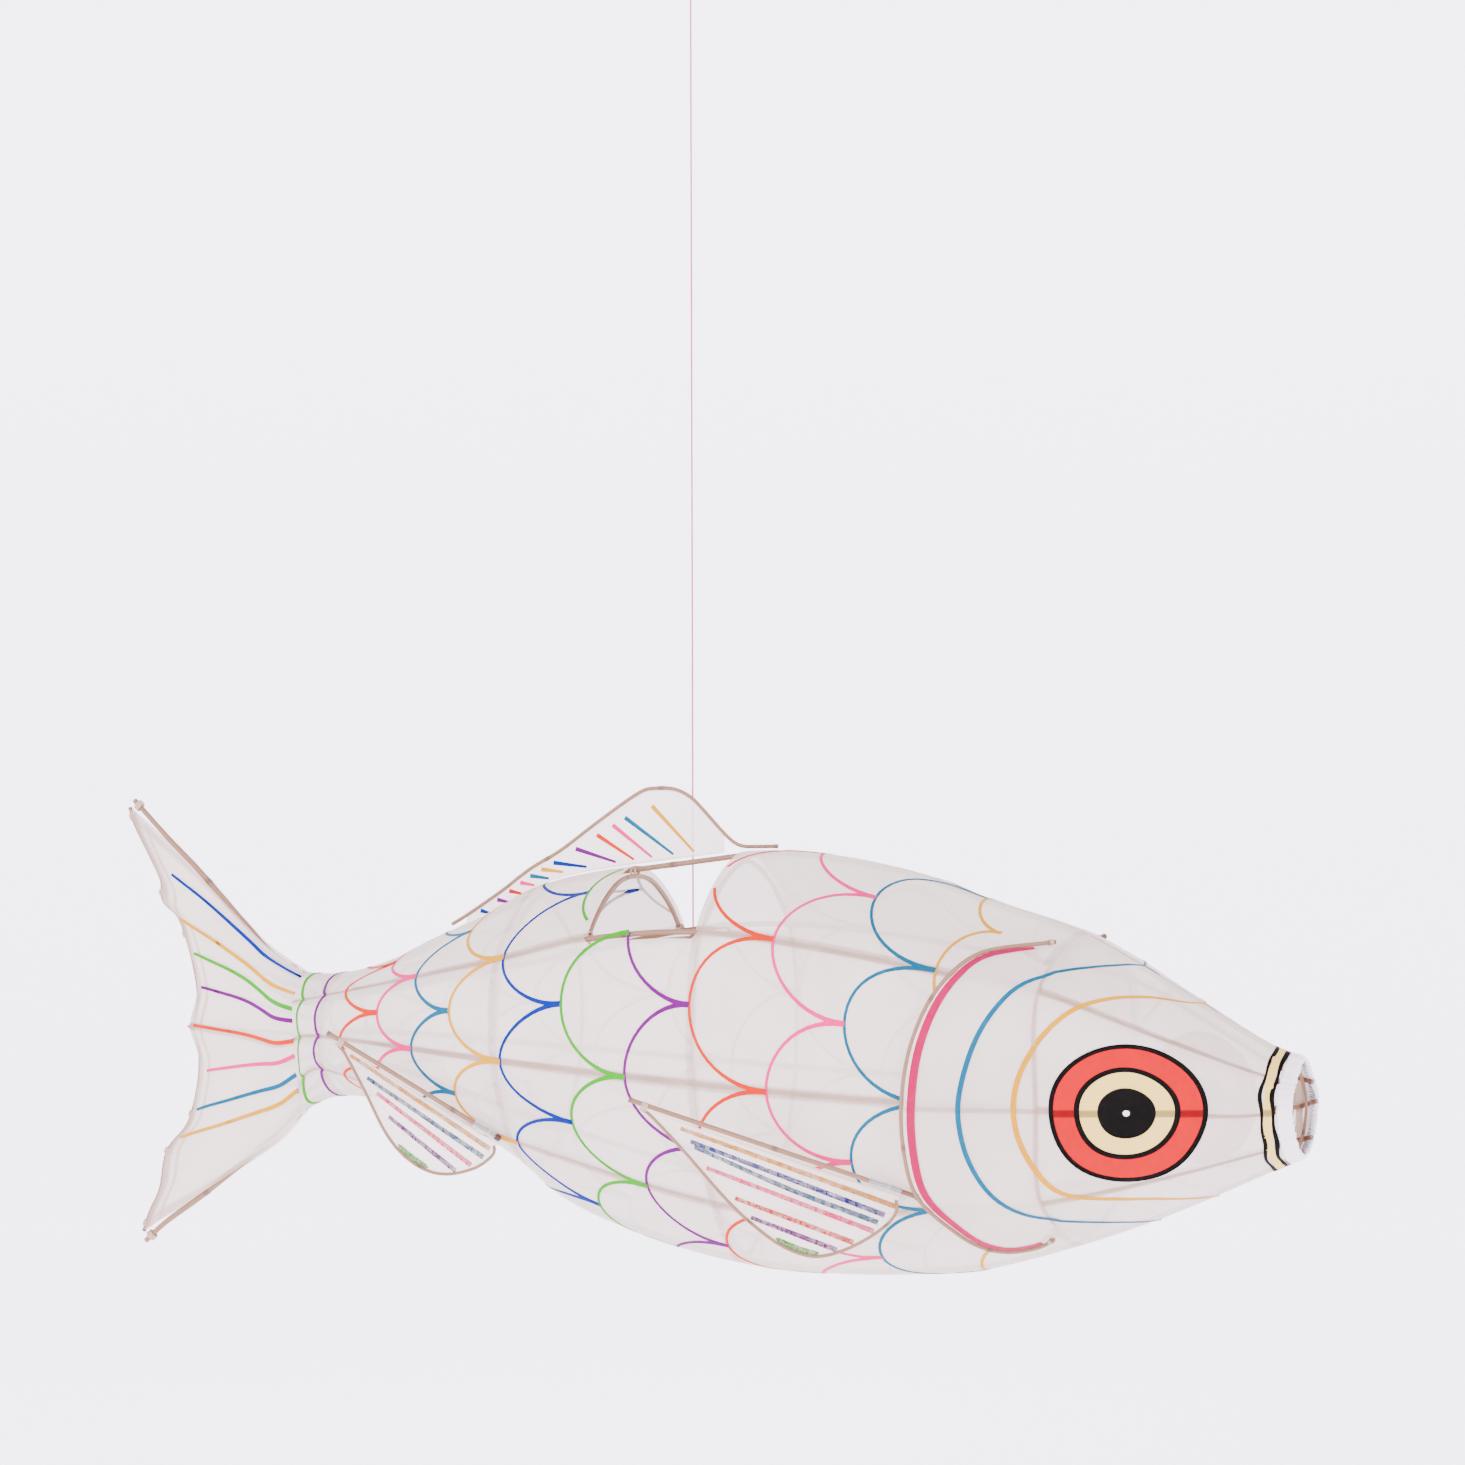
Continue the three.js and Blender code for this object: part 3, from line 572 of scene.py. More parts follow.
ties = bmesh.new()
for node, x, (wide, deep), extra in HOOPS:
    bm = bmesh.new()
    rod(bm, lambda t: in_hoop(x, t * BAYS, under_splint(x) + extra + deep), (wide, deep),
        up=(1, 0, 0), step=5 * MM, square=0.55)
    piece(node + "_strip", bm, bamboo, "fish", [node])
    if node == "mouth_hoop":
        continue
    for s in range(BAYS):
        inset = splint_radius(x) + SILK_LIFT + deep + TIE_ROOM / 2
        middle = in_hoop(x, s, inset)
        axis = on_frame(x + MM, s) - on_frame(x - MM, s)
        for lean in (-1, 1):
            binding(ties, middle, axis, wide + THREAD, (outward(x, s), splint_radius(x) + deep
                    + TIE_ROOM / 2 - THREAD), turns=2, lean=lean * 2.4 * MM)
bm = bmesh.new()


def arch_inset(s):
    near = (1 + cos(pi * min(abs(s) / ARCH_DIP, 1))) / 2
    return ARCH_INSET + (under_splint(HATCH_REAR) - ARCH_INSET) * near + STRIP[1]


def arch_place(t):
    s = (2 * t - 1) * ARCH_FOOT
    return in_hoop(HATCH_REAR, s, arch_inset(s))


rod(bm, arch_place, STRIP, up=(1, 0, 0), step=4 * MM, square=0.55)
piece("hatch_arch_strip", bm, bamboo, "fish", ["hatch_arch"])
for s in (-ARCH_FOOT - 0.03, 0, ARCH_FOOT + 0.03):
    middle = in_hoop(HATCH_REAR, s, splint_radius(HATCH_REAR) + SILK_LIFT + 1.5 * MM)
    for lean in (-1, 1):
        binding(ties, middle, (1, 0, 0), 3.6 * MM, (outward(HATCH_REAR, s), 4.2 * MM), turns=3,
                lean=lean * 1.8 * MM)
piece("hoop_ties", ties, thread, "fish")


# Bar: a plain round stick tied across the hatch under the two upper splints.
bm = bmesh.new()
rod(bm, lambda t: Vector((0, bar_low.y + t * (bar_high.y - bar_low.y), BAR_AXIS.z)), BAR_RADIUS,
    step=3 * MM, knuckles=KNUCKLES)
piece("hatch_bar", bm, bamboo, "fish", ["hanging_bar"])


# Silk of the body: a back panel before and behind the hatch, one panel down each side, and the
# head. Thin, off-white and glued tight over the splints, which show through as tan lines:
# glue-darkened silk with painted shade of the splints, and painted shadows of the hoops inside
# them.
DATUM = -880 * MM


def line_at(coordinate, place, sharp):
    """1 on a line at a place, falling to 0 beside it."""
    near = (1 - (coordinate - place).alone("ABSOLUTE") * sharp) * 2.2
    return near.node("Clamp", {}, {0: near})


def silk_finish(name, per_bay=0.0, along=(), across=(), level=None):
    """Silk, with tan lines of painted shade where sticks lie behind it: at shares along and across
    its sheet, at a level, and, if per_bay gives how narrow they are, on the splints, where glue
    soaked into the silk darkens them too, and on the hoops."""
    material, cloth = finish(name)
    place = cloth.node("UVMap")
    split = cloth.node("SeparateXYZ", {}, {0: place})
    bays = Shade(split.tree, split.socket.node.outputs[1])
    here = cloth.node("TexCoord", out=3)
    warp = cloth.noise(cloth.stretch(here, (60, 1400, 260)), 1.0, 2.0)
    weft = cloth.noise(cloth.stretch(here, (1400, 60, 260)), 1.0, 2.0)
    cloud = cloth.noise(here, 16.0, 5.0, 0.6)
    crease = cloth.noise(cloth.stretch(here, (34, 34, 12)), 1.0, 5.0, 0.6)
    tone = cloth.mix(cloud, dye(246, 238, 231), dye(216, 203, 194))
    tone = cloth.mix(warp * 0.3 + weft * 0.2, tone, dye(216, 202, 194))
    line_patchiness = cloth.noise(cloth.stretch(here, (30, 30, 60)), 1.0, 3.0)
    # Tan lines of painted shade where sticks lie behind the silk.
    for coordinate, lines in ((split, along), (bays, across)):
        for place, sharp in lines:
            stick_shade = line_at(coordinate, place, sharp) * (line_patchiness * 0.5 + 0.4)
            tone = cloth.mix(stick_shade, tone, dye(150, 108, 84))
    # Painted shadow of a stick behind the silk at this height.
    if level:
        height = cloth.node("SeparateXYZ", {}, {0: here}, out=2)
        tone = cloth.mix(line_at(height, level, 420) * 0.55, tone, dye(150, 112, 94))
    if per_bay:
        # Painted shadows of the hoops, which sit inside the splints and show through the silk as
        # tan bands.
        for x in (HATCH_FRONT, REAR_HOOP, PEDUNCLE_HOOP, HEAD_HOOP):
            tone = cloth.mix(line_at(split, x, 230) * (line_patchiness * 0.5 + 0.2), tone, dye(150, 112, 96))
        # Along the splints: silk darkened by glue soaked into it, and darkened more by painted
        # shade of the splint behind it.
        glue_and_splint_shade = line_at((bays + 0.5).alone("FRACT"), 0.5, per_bay)
        tone = cloth.mix(glue_and_splint_shade * (line_patchiness * 0.5 + 0.45), tone, dye(150, 108, 88))
    skin = cloth.node("BsdfPrincipled", {}, {
        "Base Color": tone,
        "Roughness": crease * 0.25 + 0.5,
        "Sheen Weight": 0.2,
        "Normal": cloth.bump(crease + (warp + weft) * 0.25, 0.4, 0.9 * MM),
    })
    glow = cloth.node("BsdfTranslucent", {}, {"Color": dye(246, 232, 224)})
    clear = cloth.node("BsdfTransparent", {}, {"Color": dye(255, 251, 248)})
    soft = cloth.node("MixShader", {}, {0: cloud * 0.1 + 0.3, 1: skin, 2: glow})
    cloth.node("OutputMaterial", {}, {"Surface": cloth.node("MixShader", {}, {
        0: weft * 0.08 + 0.13, 1: soft, 2: clear})})
    return material


# How narrow the splint lines are: glue-soaked silk with painted shade of the splint behind it.
SPLINT_GLUE_SHADE_SHARPNESS = 19.0
body_silk = silk_finish("body_silk", SPLINT_GLUE_SHADE_SHARPNESS)
# Height of the middle splint and strut behind the gill flap, where the flap gets a painted shadow
# line.
SIDE_STICK = DATUM - 30 * MM
# Gill flap: painted shadow of the head hoop along its front edge, and of the middle splint and
# strut behind it at their height.
gill_silk = silk_finish("gill_silk", along=[(0.0, 24)], level=SIDE_STICK)
# Tail: painted shade of the rear rim, the second rim, the two leading rods and the middle rod
# behind the silk.
tail_cloth = silk_finish("tail_silk", along=[(0.99, 22), (0.9, 60)],
                         across=[(0.0, 28), (1.0, 28), (0.485, 90)])
# Fins: painted shade of the spar and the rim behind the silk.
fin_silk_cloth = silk_finish("fin_silk", across=[(0.0, 30), (1.0, 40)])
CELL = 5 * MM
SEAM_ROOM = 1.15
NARROWEST = 12 * MM


def sheet_grid(bm, wide, long, spot):
    """Adds a sheet whose places come from two shares, from 0 to 1."""
    uv = bm.loops.layers.uv.verify()
    made = bmesh.ops.create_grid(bm, x_segments=wide, y_segments=long, size=1.0)["verts"]
    for v in made:
        u, w = (v.co.x + 1) / 2, (v.co.y + 1) / 2
        v.co, where = spot(u, w)
        for loop in v.link_loops:
            loop[uv].uv = where


def cloth(name, bm, material, body, nodes, away, rests_on):
    """Puts a stretched sheet of silk in place with its outside the way that away points."""
    bm.normal_update()
    face = max(bm.faces, key=lambda f: f.calc_area())
    if face.normal.dot(away(face.calc_center_median())) < 0:
        bmesh.ops.reverse_faces(bm, faces=bm.faces)
    area = sum(f.calc_area() for f in bm.faces)
    low = Vector([min(v.co[k] for v in bm.verts) for k in range(3)])
    high = Vector([max(v.co[k] for v in bm.verts) for k in range(3)])
    long = max((high - low)[:])
    wide = max(area / long * SEAM_ROOM, NARROWEST)
    made = piece(name, bm, material, body, nodes, solid=False)
    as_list(rests_on)
    return made


def from_axis(point):
    return point - axis_at(min(max(point.x, TAIL_END), MOUTH_END))


SILL = 0.07
PANELS = [
    ("front_back", "front_back_skin", HATCH_FRONT - 2 * MM, HEAD_HOOP, -1, 1, ["top_splint"]),
    ("rear_back", "rear_back_skin", TAIL_END, HATCH_REAR + 2 * MM, -1, 1, ["top_splint"]),
    ("right_side", "right_side_skin", TAIL_END, HEAD_HOOP, 1, 4, ["right_middle_splint"]),
    ("left_side", "left_side_skin", TAIL_END, HEAD_HOOP, 4, 7, ["left_middle_splint"]),
    ("head", "head_skin", HEAD_HOOP, 500 * MM, 0, 8, ["head_hoop"]),
]
for name, node, low, high, first, last, on in PANELS:
    bm = bmesh.new()

    def spot(u, w):
        x = low + u * (high - low)
        bare = SILL * (HATCH_REAR < x < HATCH_FRONT)
        start, end = first + bare * (first == 1), last - bare * (last == BAYS - 1)
        s = start + w * (end - start)
        return silk(x, s), (x, s)
    sheet_grid(bm, round((high - low) / CELL), (last - first) * 14, spot)
    if last - first == BAYS:
        bmesh.ops.remove_doubles(bm, verts=bm.verts, dist=0.01 * MM)
    cloth(name + "_silk", bm, body_silk, "fish", [node], from_axis, on)


# Ink: fine lines brushed on the silk in bright dyes, which soak through and show inside too.
# Each stroke is a thin film that follows the silk.
# Height of the middle splint across the eye, where the red and cream inks get a painted shadow
# band.
EYE_HEIGHT = DATUM - 31.5 * MM


def ink(name, colour, deeper, splint_shadow_height=None):
    material, brush = finish(name)
    here = brush.node("TexCoord", out=3)
    pool = brush.noise(here, 160.0, 3.0)
    drag = brush.noise(here, 30.0, 2.0)
    tone = brush.mix(pool * 0.8, brush.mix(drag * 0.4, dye(*colour), dye(*deeper)), dye(*deeper))
    # A darker band across the ink at this height: painted shadow of the splint behind the silk.
    if splint_shadow_height:
        height = brush.node("SeparateXYZ", {}, {0: here}, out=2)
        tone = brush.mix(line_at(height, splint_shadow_height, 290) * 0.72, tone,
                         dye(*[channel * 0.42 for channel in deeper]))
    film = brush.node("BsdfPrincipled", {}, {
        "Base Color": tone,
        "Roughness": pool * 0.3 + 0.4,
        "Specular IOR Level": 0.06,
        "Normal": brush.bump(pool, 0.2, 0.1 * MM),
    })
    glow = brush.node("BsdfTranslucent", {}, {"Color": dye(*colour)})
    brush.node("OutputMaterial", {}, {"Surface": brush.node("MixShader", {}, {
        0: drag * 0.1 + 0.1, 1: film, 2: glow})})
    return material


INKS = {
    "yellow": ink("yellow_ink", (218, 158, 0), (186, 122, 0)),
    "cyan": ink("cyan_ink", (0, 104, 136), (0, 70, 98)),
    "pink": ink("pink_ink", (186, 0, 84), (146, 0, 58)),
    "pale_pink": ink("pale_pink_ink", (232, 36, 126), (204, 12, 92)),
    "orange": ink("orange_ink", (214, 44, 4), (186, 26, 0)),
    "purple": ink("purple_ink", (118, 0, 122), (82, 0, 90)),
    "green": ink("green_ink", (56, 168, 14), (32, 128, 6)),
    "blue": ink("blue_ink", (4, 44, 144), (2, 24, 104)),
    "red": ink("red_ink", (196, 4, 22), (172, 0, 12), EYE_HEIGHT),
    "cream": ink("cream_ink", (236, 208, 124), (218, 184, 94), EYE_HEIGHT),
    "black": ink("black_ink", (10, 7, 6), (4, 3, 3)),
    "white": ink("white_ink", (250, 248, 244), (238, 234, 228)),
}
FILM = 0.3 * MM
FILM_REST = 1.5 * FILM


def stroke(bm, place, width, count=14):
    """Adds one brushed line. place gives a spot and the way out of the silk, from 0 to 1."""
    made = bmesh.ops.create_grid(bm, x_segments=count, y_segments=1, size=1.0)["verts"]
    rings = []
    for i in range(count + 1):
        t = i / count
        spot, out = place(t)
        run = place(min(t + 0.02, 1))[0] - place(max(t - 0.02, 0))[0]
        rings.append((spot + out * FILM_REST, out.cross(run).normalized()))
    for v in made:
        t, hand = (v.co.x + 1) / 2, v.co.y
        spot, side = rings[round(t * count)]
        breadth = width(t) if callable(width) else width
        v.co = spot + side * hand * breadth / 2
    return made


def inked(name, bm, colour):
    """Gives the strokes their thickness and puts them on the fish."""
    bmesh.ops.solidify(bm, geom=bm.faces[:], thickness=FILM)
    bmesh.ops.recalc_face_normals(bm, faces=bm.faces)
    return piece(name, bm, INKS[colour], "fish", solid=False)


# Scales: rows of half-round arcs from the gills to the tail, one colour to a row. In even rows
# the points between arcs are on the splints, in odd rows between them.
ROWS = [("yellow", 290, 255), ("cyan", 255, 185), ("pale_pink", 185, 117), ("orange", 117, 48),
        ("purple", 48, -10), ("green", -10, -66), ("blue", -66, -127), ("yellow", -127, -177),
        ("cyan", -177, -216), ("pale_pink", -216, -252), ("orange", -252, -290)]
LINE = 2.8 * MM
GILL_BOW = [(330, 93), (289, 84), (270, 68), (254, 44), (241, 10), (235, -28), (236, -62),
            (242, -93), (260, -116), (275, -132), (293, -138), (317, -135), (330, -129)]
bow_heights = [DATUM + z * MM for x, z in reversed(GILL_BOW[1:-2])]
bow_places = [x * MM for x, z in reversed(GILL_BOW[1:-2])]


def shows(x, s):
    """Whether the silk is there and outside the gill covers and the hatch."""
    on_top = min(s % BAYS, BAYS - s % BAYS) < 1.0
    if on_top and HATCH_REAR - MM < x < HATCH_FRONT + MM:
        return False
    spot = on_frame(x, s)
    if bow_heights[0] < spot.z < bow_heights[-1]:
        return x < np.interp(spot.z, bow_heights, bow_places) - 2.5 * MM
    return x < HEAD_HOOP


def arc_lines(bm, path, thickness, count=26):
    """Adds the parts of a line on the body that show."""
    seen = [shows(*path(i / count)) for i in range(count + 1)]
    i = 0
    while i < count:
        if not seen[i]:
            i += 1
            continue
        start = i
        while i < count and seen[i + 1]:
            i += 1
        if i > start:
            low, high = start / count, i / count

            def place(t):
                x, s = path(low + t * (high - low))
                return silk(x, s), outward(x, s)
            stroke(bm, place, lambda t: thickness(low + t * (high - low)), i - start)
        i += 1


for number, (colour, front, back) in enumerate(ROWS, start=1):
    bm = bmesh.new()
    for bay in range(BAYS):
        start = bay + (0 if number % 2 == 0 else 0.5)

        def path(t):
            x = front * MM - (front - back) * MM * sin(pi * t)
            return x, start + 0.5 - 0.5 * cos(pi * t)
        arc_lines(bm, path, lambda t: LINE * (0.85 + 0.8 * abs(2 * t - 1) ** 3))
    inked(f"scale_row_{number}", bm, colour)
BANDS = [("tail_band_front", "purple", -317), ("tail_band_rear", "green", -341)]
for name, colour, middle in BANDS:
    bm = bmesh.new()
    for bay in range(BAYS):
        def path(t):
            return (middle + 5 - 7 * sin(pi * t) ** 0.6) * MM, bay + t
        arc_lines(bm, path, lambda t: 2.6 * MM, 14)
    inked(name, bm, colour)


# Head: a ringed eye on each side and two wavering black lines round the mouth.
def bays_at(x, z):
    """Bays round from the top splint to a height on the right side."""
    low, high = 0.0, 4.0
    for _ in range(22):
        middle = (low + high) / 2
        low, high = (middle, high) if on_frame(x, middle).z > z else (low, middle)
    return low


def on_side(x, z, hand, lift=0.0):
    """A place on the silk of one side, and the way out of it."""
    s = bays_at(x, z)
    s = s if hand < 0 else BAYS - s
    return silk(x, s, lift), outward(x, s)


HANDS = {"right": -1, "left": 1}
EYE = (400, -31)
EYE_FLAT = 0.95
EYE_RINGS = [
    ("eye_red", "red", 34.0, 52.0, 0.0), ("eye_cream", "cream", 19.0, 34.6, 0.0),
    ("eye_outer_line", "black", 51.2, 54.6, 0.1), ("eye_inner_line", "black", 32.6, 36.4, 0.1),
    ("eye_pupil", "black", 0.0, 20.0, 0.12), ("eye_spark", "white", 0.0, 2.4, 0.2),
]


def ring_film(bm, hand, near, far, lift):
    count = 64 if far > 5 else 16
    bands = max(1, round((far - near) / 5))
    for v in bmesh.ops.create_grid(bm, x_segments=count, y_segments=bands, size=1.0)["verts"]:
        a, r = pi * v.co.x, near + (far - near) * (v.co.y + 1) / 2
        shake = 1 + 0.008 * sin(3 * a + 1) + 0.006 * sin(5 * a)
        x = (EYE[0] + r * shake * cos(a)) * MM
        z = DATUM + (EYE[1] + r * shake * EYE_FLAT * sin(a)) * MM
        v.co, out = on_side(x, z, hand)
        v.co += out * (FILM / 2 + lift * MM)


for side, hand in HANDS.items():
    for name, colour, near, far, lift in EYE_RINGS:
        bm = bmesh.new()
        ring_film(bm, hand, near, far, lift)
        bmesh.ops.remove_doubles(bm, verts=bm.verts, dist=0.01 * MM)
        inked(f"{side}_{name}", bm, colour)
MOUTH_LINES = [("mouth_line_rear", 490.5, 2.6, 1.0), ("mouth_line_front", 498.6, 3.0, 0.8)]
for name, middle, breadth, waver in MOUTH_LINES:
    bm = bmesh.new()

    def around(t):
        s = t * BAYS
        x = (middle + waver * sin(3 * s) + 0.6 * waver * sin(7.3 * s)) * MM
        return silk(x, s), outward(x, s)
    stroke(bm, around, lambda t: breadth * MM * (1 + 0.25 * sin(40 * t)), 160)
    inked(name, bm, "black")
bm = bmesh.new()
stroke(bm, lambda t: (silk(494.6 * MM, t * BAYS), outward(494.6 * MM, t * BAYS)), 6.4 * MM, 96)
inked("mouth_cream_band", bm, "cream")


# Lip: the silk's front edge rolled over the mouth hoop and whipped with grey thread, with the
# splints' brown ends standing in the opening.
LIP_MIDDLE = 506.6 * MM
LIP_LONG = 6.0 * MM
LIP_DEEP = 2.3 * MM
lip_cloth, roll = finish("rolled_silk")
here = roll.node("TexCoord", out=3)
gathers = roll.noise(roll.stretch(here, (60, 420, 420)), 1.0, 4.0, 0.6)
weave = roll.noise(here, 900.0, 2.0)
roll.node("OutputMaterial", {}, {"Surface": roll.node("BsdfPrincipled", {}, {
    "Base Color": roll.mix(gathers, dye(240, 236, 236), dye(214, 206, 206)),
    "Roughness": weave * 0.2 + 0.65,
    "Normal": roll.bump(gathers + weave * 0.3, 0.6, 0.8 * MM),
})})
bm = bmesh.new()


def lip_spot(u, w):
    s = u * BAYS
    a = 2 * pi * w
    lump = 0.12 * sin(23 * s + 2 * sin(5 * s)) + 0.1 * sin(61 * s)
    x = LIP_MIDDLE + LIP_LONG * cos(a) * (1 + 0.5 * lump)
    inset = LIP_DEEP - 1.0 * MM + LIP_DEEP * sin(a) * (1 + lump)
    return in_hoop(x, s, inset), (u, w)


sheet_grid(bm, 240, 14, lip_spot)
lip = piece("mouth_lip_roll", bm, lip_cloth, "fish", ["mouth_lip"])
grey_thread = spun("grey_thread", dye(150, 150, 158), dye(104, 104, 112), 0.65)
WHIPPING_TURNS = 72
bm = bmesh.new()


def whipping(t):
    a = 2 * pi * WHIPPING_TURNS * t
    x = LIP_MIDDLE + 1.5 * MM + 2.6 * MM * cos(a)
    return in_hoop(x, t * BAYS, 5.0 * MM + 1.6 * MM * sin(a))


rod(bm, whipping, 0.4 * MM, up=(1, 0, 0), around=5, step=1.6 * MM)
piece("mouth_whipping", bm, grey_thread, "fish")
bm = bmesh.new()
for s in range(BAYS):
    ends = [in_hoop(x * MM, s, 4.4 * MM) for x in (498, 511.5)]
    rod(bm, lambda t: ends[0].lerp(ends[1], t), 1.9 * MM, up=(0, 0.2, 1), step=2 * MM)
piece("splint_ends", bm, bare_bamboo, "fish")


# Gill covers: on each side a thin bamboo bow stands off the body, propped by a short strut, with
# a flap of silk from just in front of the head hoop and a thick pink line inside its edge.
GILL_PROUD, GILL_SEAT = 11 * MM, 2.6 * MM
GILL_LIFT = 0.25 * MM
GILL_FRONT = HEAD_HOOP + 3 * MM
GILL_NARROW = 0.88
BOW_RADIUS = 1.6 * MM
STRUT_HEIGHT = -27
bow_line = through([(x * MM, 0, z * MM) for x, z in GILL_BOW])


def gill_proud(v):
    return GILL_SEAT + (GILL_PROUD - GILL_SEAT) * sin(pi * v)


def beside(x, z, hand, lift):
    """A place stood off the silk's tight line on one side, z up from the body's axis."""
    s = bays_at(x, DATUM + z)
    s = s if hand < 0 else BAYS - s
    return on_frame(x, s) + outward(x, s) * lift


def flap(u, v, hand, lift=0.0):
    edge = bow_line(v)
    run = (bow_line(min(v + 0.01, 1)) - bow_line(max(v - 0.01, 0))).normalized()
    edge += Vector((-run.z, 0, run.x)) * (BOW_RADIUS + 0.6 * MM)
    x = GILL_FRONT + u * (edge.x - GILL_FRONT)
    z = edge.z * (GILL_NARROW + u * (1 - GILL_NARROW))
    proud = GILL_LIFT + u * (gill_proud(v) - GILL_LIFT)
    ripple = 0.5 * MM * sin(pi * u) * noise.noise(Vector((x * 40, z * 40, hand)))
    return beside(x, z, hand, proud + ripple + lift)


GILL_ARCS = {
    "cyan": [(395, 77), (359, 77), (334, 71), (315, 57), (294, 26), (280, -12), (278, -38),
             (286, -68), (306, -98), (338, -114), (396, -119)],
    "yellow": [(443, 45), (397, 55), (367, 49), (343, 27), (325, -3), (320, -30), (326, -56),
               (346, -86), (367, -95), (443, -99)],
}
bow_share = [i / 100 for i in range(0, 91)]
bow_height = [bow_line(v).z for v in bow_share]


def on_gill(point, hand):
    """A place on the flap, or on the head in front of it, and the way out of the silk."""
    if point.x >= GILL_FRONT:
        return on_side(point.x, DATUM + point.z, hand)
    u = 0.5
    for _ in range(8):
        height = point.z / (GILL_NARROW + u * (1 - GILL_NARROW))
        v = float(np.interp(-height, [-z for z in bow_height], bow_share))
        u = (point.x - GILL_FRONT) / (bow_line(v).x - GILL_FRONT)
        u = min(max(u, 0), 1)
    spot = flap(u, v, hand)
    return spot, (flap(u, v, hand, MM) - spot).normalized()


for side, hand in HANDS.items():
    def bow_place(t):
        spot = bow_line(t)
        return beside(spot.x, spot.z, hand, gill_proud(t))
    bows = [bow_place(i / 40) for i in range(41)]
    bow = through(bows, 3)
    bm = bmesh.new()
    rod(bm, bow, BOW_RADIUS, up=(0, 1, 0), step=4 * MM, knuckles=KNUCKLES)
    piece(f"{side}_gill_bow_stick", bm, bamboo, "fish", [f"{side}_gill_bow"])
    ends = [beside(242 * MM, STRUT_HEIGHT * MM, hand, GILL_PROUD - 3.6 * MM),
            beside(300 * MM, STRUT_HEIGHT * MM, hand, 2.3 * MM)]
    bm = bmesh.new()
    rod(bm, lambda t: ends[0].lerp(ends[1], t), 1.2 * MM, step=4 * MM, knuckles=KNUCKLES)
    piece(f"{side}_gill_strut_stick", bm, bamboo, "fish", [f"{side}_gill_strut"])
    bm = bmesh.new()
    sheet_grid(bm, 22, 80, lambda u, w: (flap(u, 0.06 + 0.9 * w, hand), (u, w)))
    cloth(f"{side}_gill_silk", bm, gill_silk, "fish", [f"{side}_gill_cover"], from_axis,
          [f"{side}_gill_bow"])
    for colour, points in GILL_ARCS.items():
        curve = through([(x * MM, 0, z * MM) for x, z in points])
        bm = bmesh.new()
        stroke(bm, lambda t: on_gill(curve(t), hand),
               lambda t: LINE * (0.6 + 0.9 * sin(pi * t)), 60)
        inked(f"{side}_gill_arc_{colour}", bm, colour)
    bm = bmesh.new()

    def gill_line(t):
        v = 0.03 + 0.94 * t
        spot = flap(0.945, v, hand)
        out = (flap(0.945, v, hand, MM) - spot).normalized()
        return spot, out
    stroke(bm, gill_line, lambda t: (3.6 + 3.2 * sin(pi * t) ** 0.6) * MM, 60)
    inked(f"{side}_gill_line", bm, "pink")
    bm = bmesh.new()
    for v in (0.0, 1.0):
        run = bow(max(v - 0.02, 0)) - bow(min(v + 0.02, 1))
        binding(bm, bow(min(max(v, 0.01), 0.99)), run, 2.2 * MM, ((0, 1, 0), 2.2 * MM), turns=5)
    binding(bm, ends[0], ends[1] - ends[0], 1.8 * MM, ((0, 1, 0), 1.8 * MM), turns=4)
    piece(f"{side}_gill_ties", bm, thread, "fish")


# Tail: two leading rods that carry on from the top and bottom splints, thin rods doubled along
# the forked rear edge and one up the middle, with silk on both faces pinched flat between them.
def upright(points):
    return through([(x * MM, 0, DATUM + z * MM) for x, z in points])


TAIL_ROD, THIN_ROD = 2.8 * MM, 1.5 * MM
UPPER_LEAD = [(-353, 54), (-369, 62), (-388, 76), (-405, 93), (-450, 138), (-482, 167),
              (-514, 198)]
LOWER_LEAD = [(-353, -54), (-374, -76), (-412, -105), (-450, -133), (-484, -156), (-503, -172)]
UPPER_RIM = [(-518.5, 192), (-513, 177), (-499, 152), (-488, 131), (-486, 114), (-471, 100),
             (-460, 72), (-453, 40), (-454, 14)]
LOWER_RIM = [(-505, -164), (-499, -148), (-489, -128), (-482, -96), (-462, -72), (-453, -42),
             (-451, -18), (-454, 4)]
NOTCH = 9
TAIL_FLAT = 3.9 * MM
TAIL_PINCH = 60 * MM
TAIL_CLOSE = 1.7 * MM
tail_rods = {
    "tail_upper_rod": (upright(UPPER_LEAD), TAIL_ROD),
    "tail_lower_rod": (upright(LOWER_LEAD), TAIL_ROD),
    "tail_upper_rim": (upright(UPPER_RIM), THIN_ROD),
    "tail_lower_rim": (upright(LOWER_RIM), THIN_ROD),
    "tail_middle_rod": (upright([(-352.5, NOTCH - 4), (-462, NOTCH)]), THIN_ROD),
}
for node, (place, radius) in tail_rods.items():
    bm = bmesh.new()
    rod(bm, place, lambda t: radius * (1.05 - 0.25 * t), up=(0, 1, 0), step=3 * MM,
        knuckles=KNUCKLES)
    piece(node + "_stick", bm, bamboo, "fish", [node])
bm = bmesh.new()
RIM_GAP = 5.5 * MM
SECOND_RIM = (0.04, 0.62)
for node in ("tail_upper_rim", "tail_lower_rim"):
    place = tail_rods[node][0]

    def beside_rim(t):
        spot = place(SECOND_RIM[0] + t * (SECOND_RIM[1] - SECOND_RIM[0]))
        return spot + Vector((RIM_GAP * sin(pi * t) ** 0.5, 0, 0))
    rod(bm, beside_rim, 1.2 * MM, up=(0, 1, 0), step=3 * MM)
piece("tail_second_rims", bm, bamboo, "fish")
bm = bmesh.new()
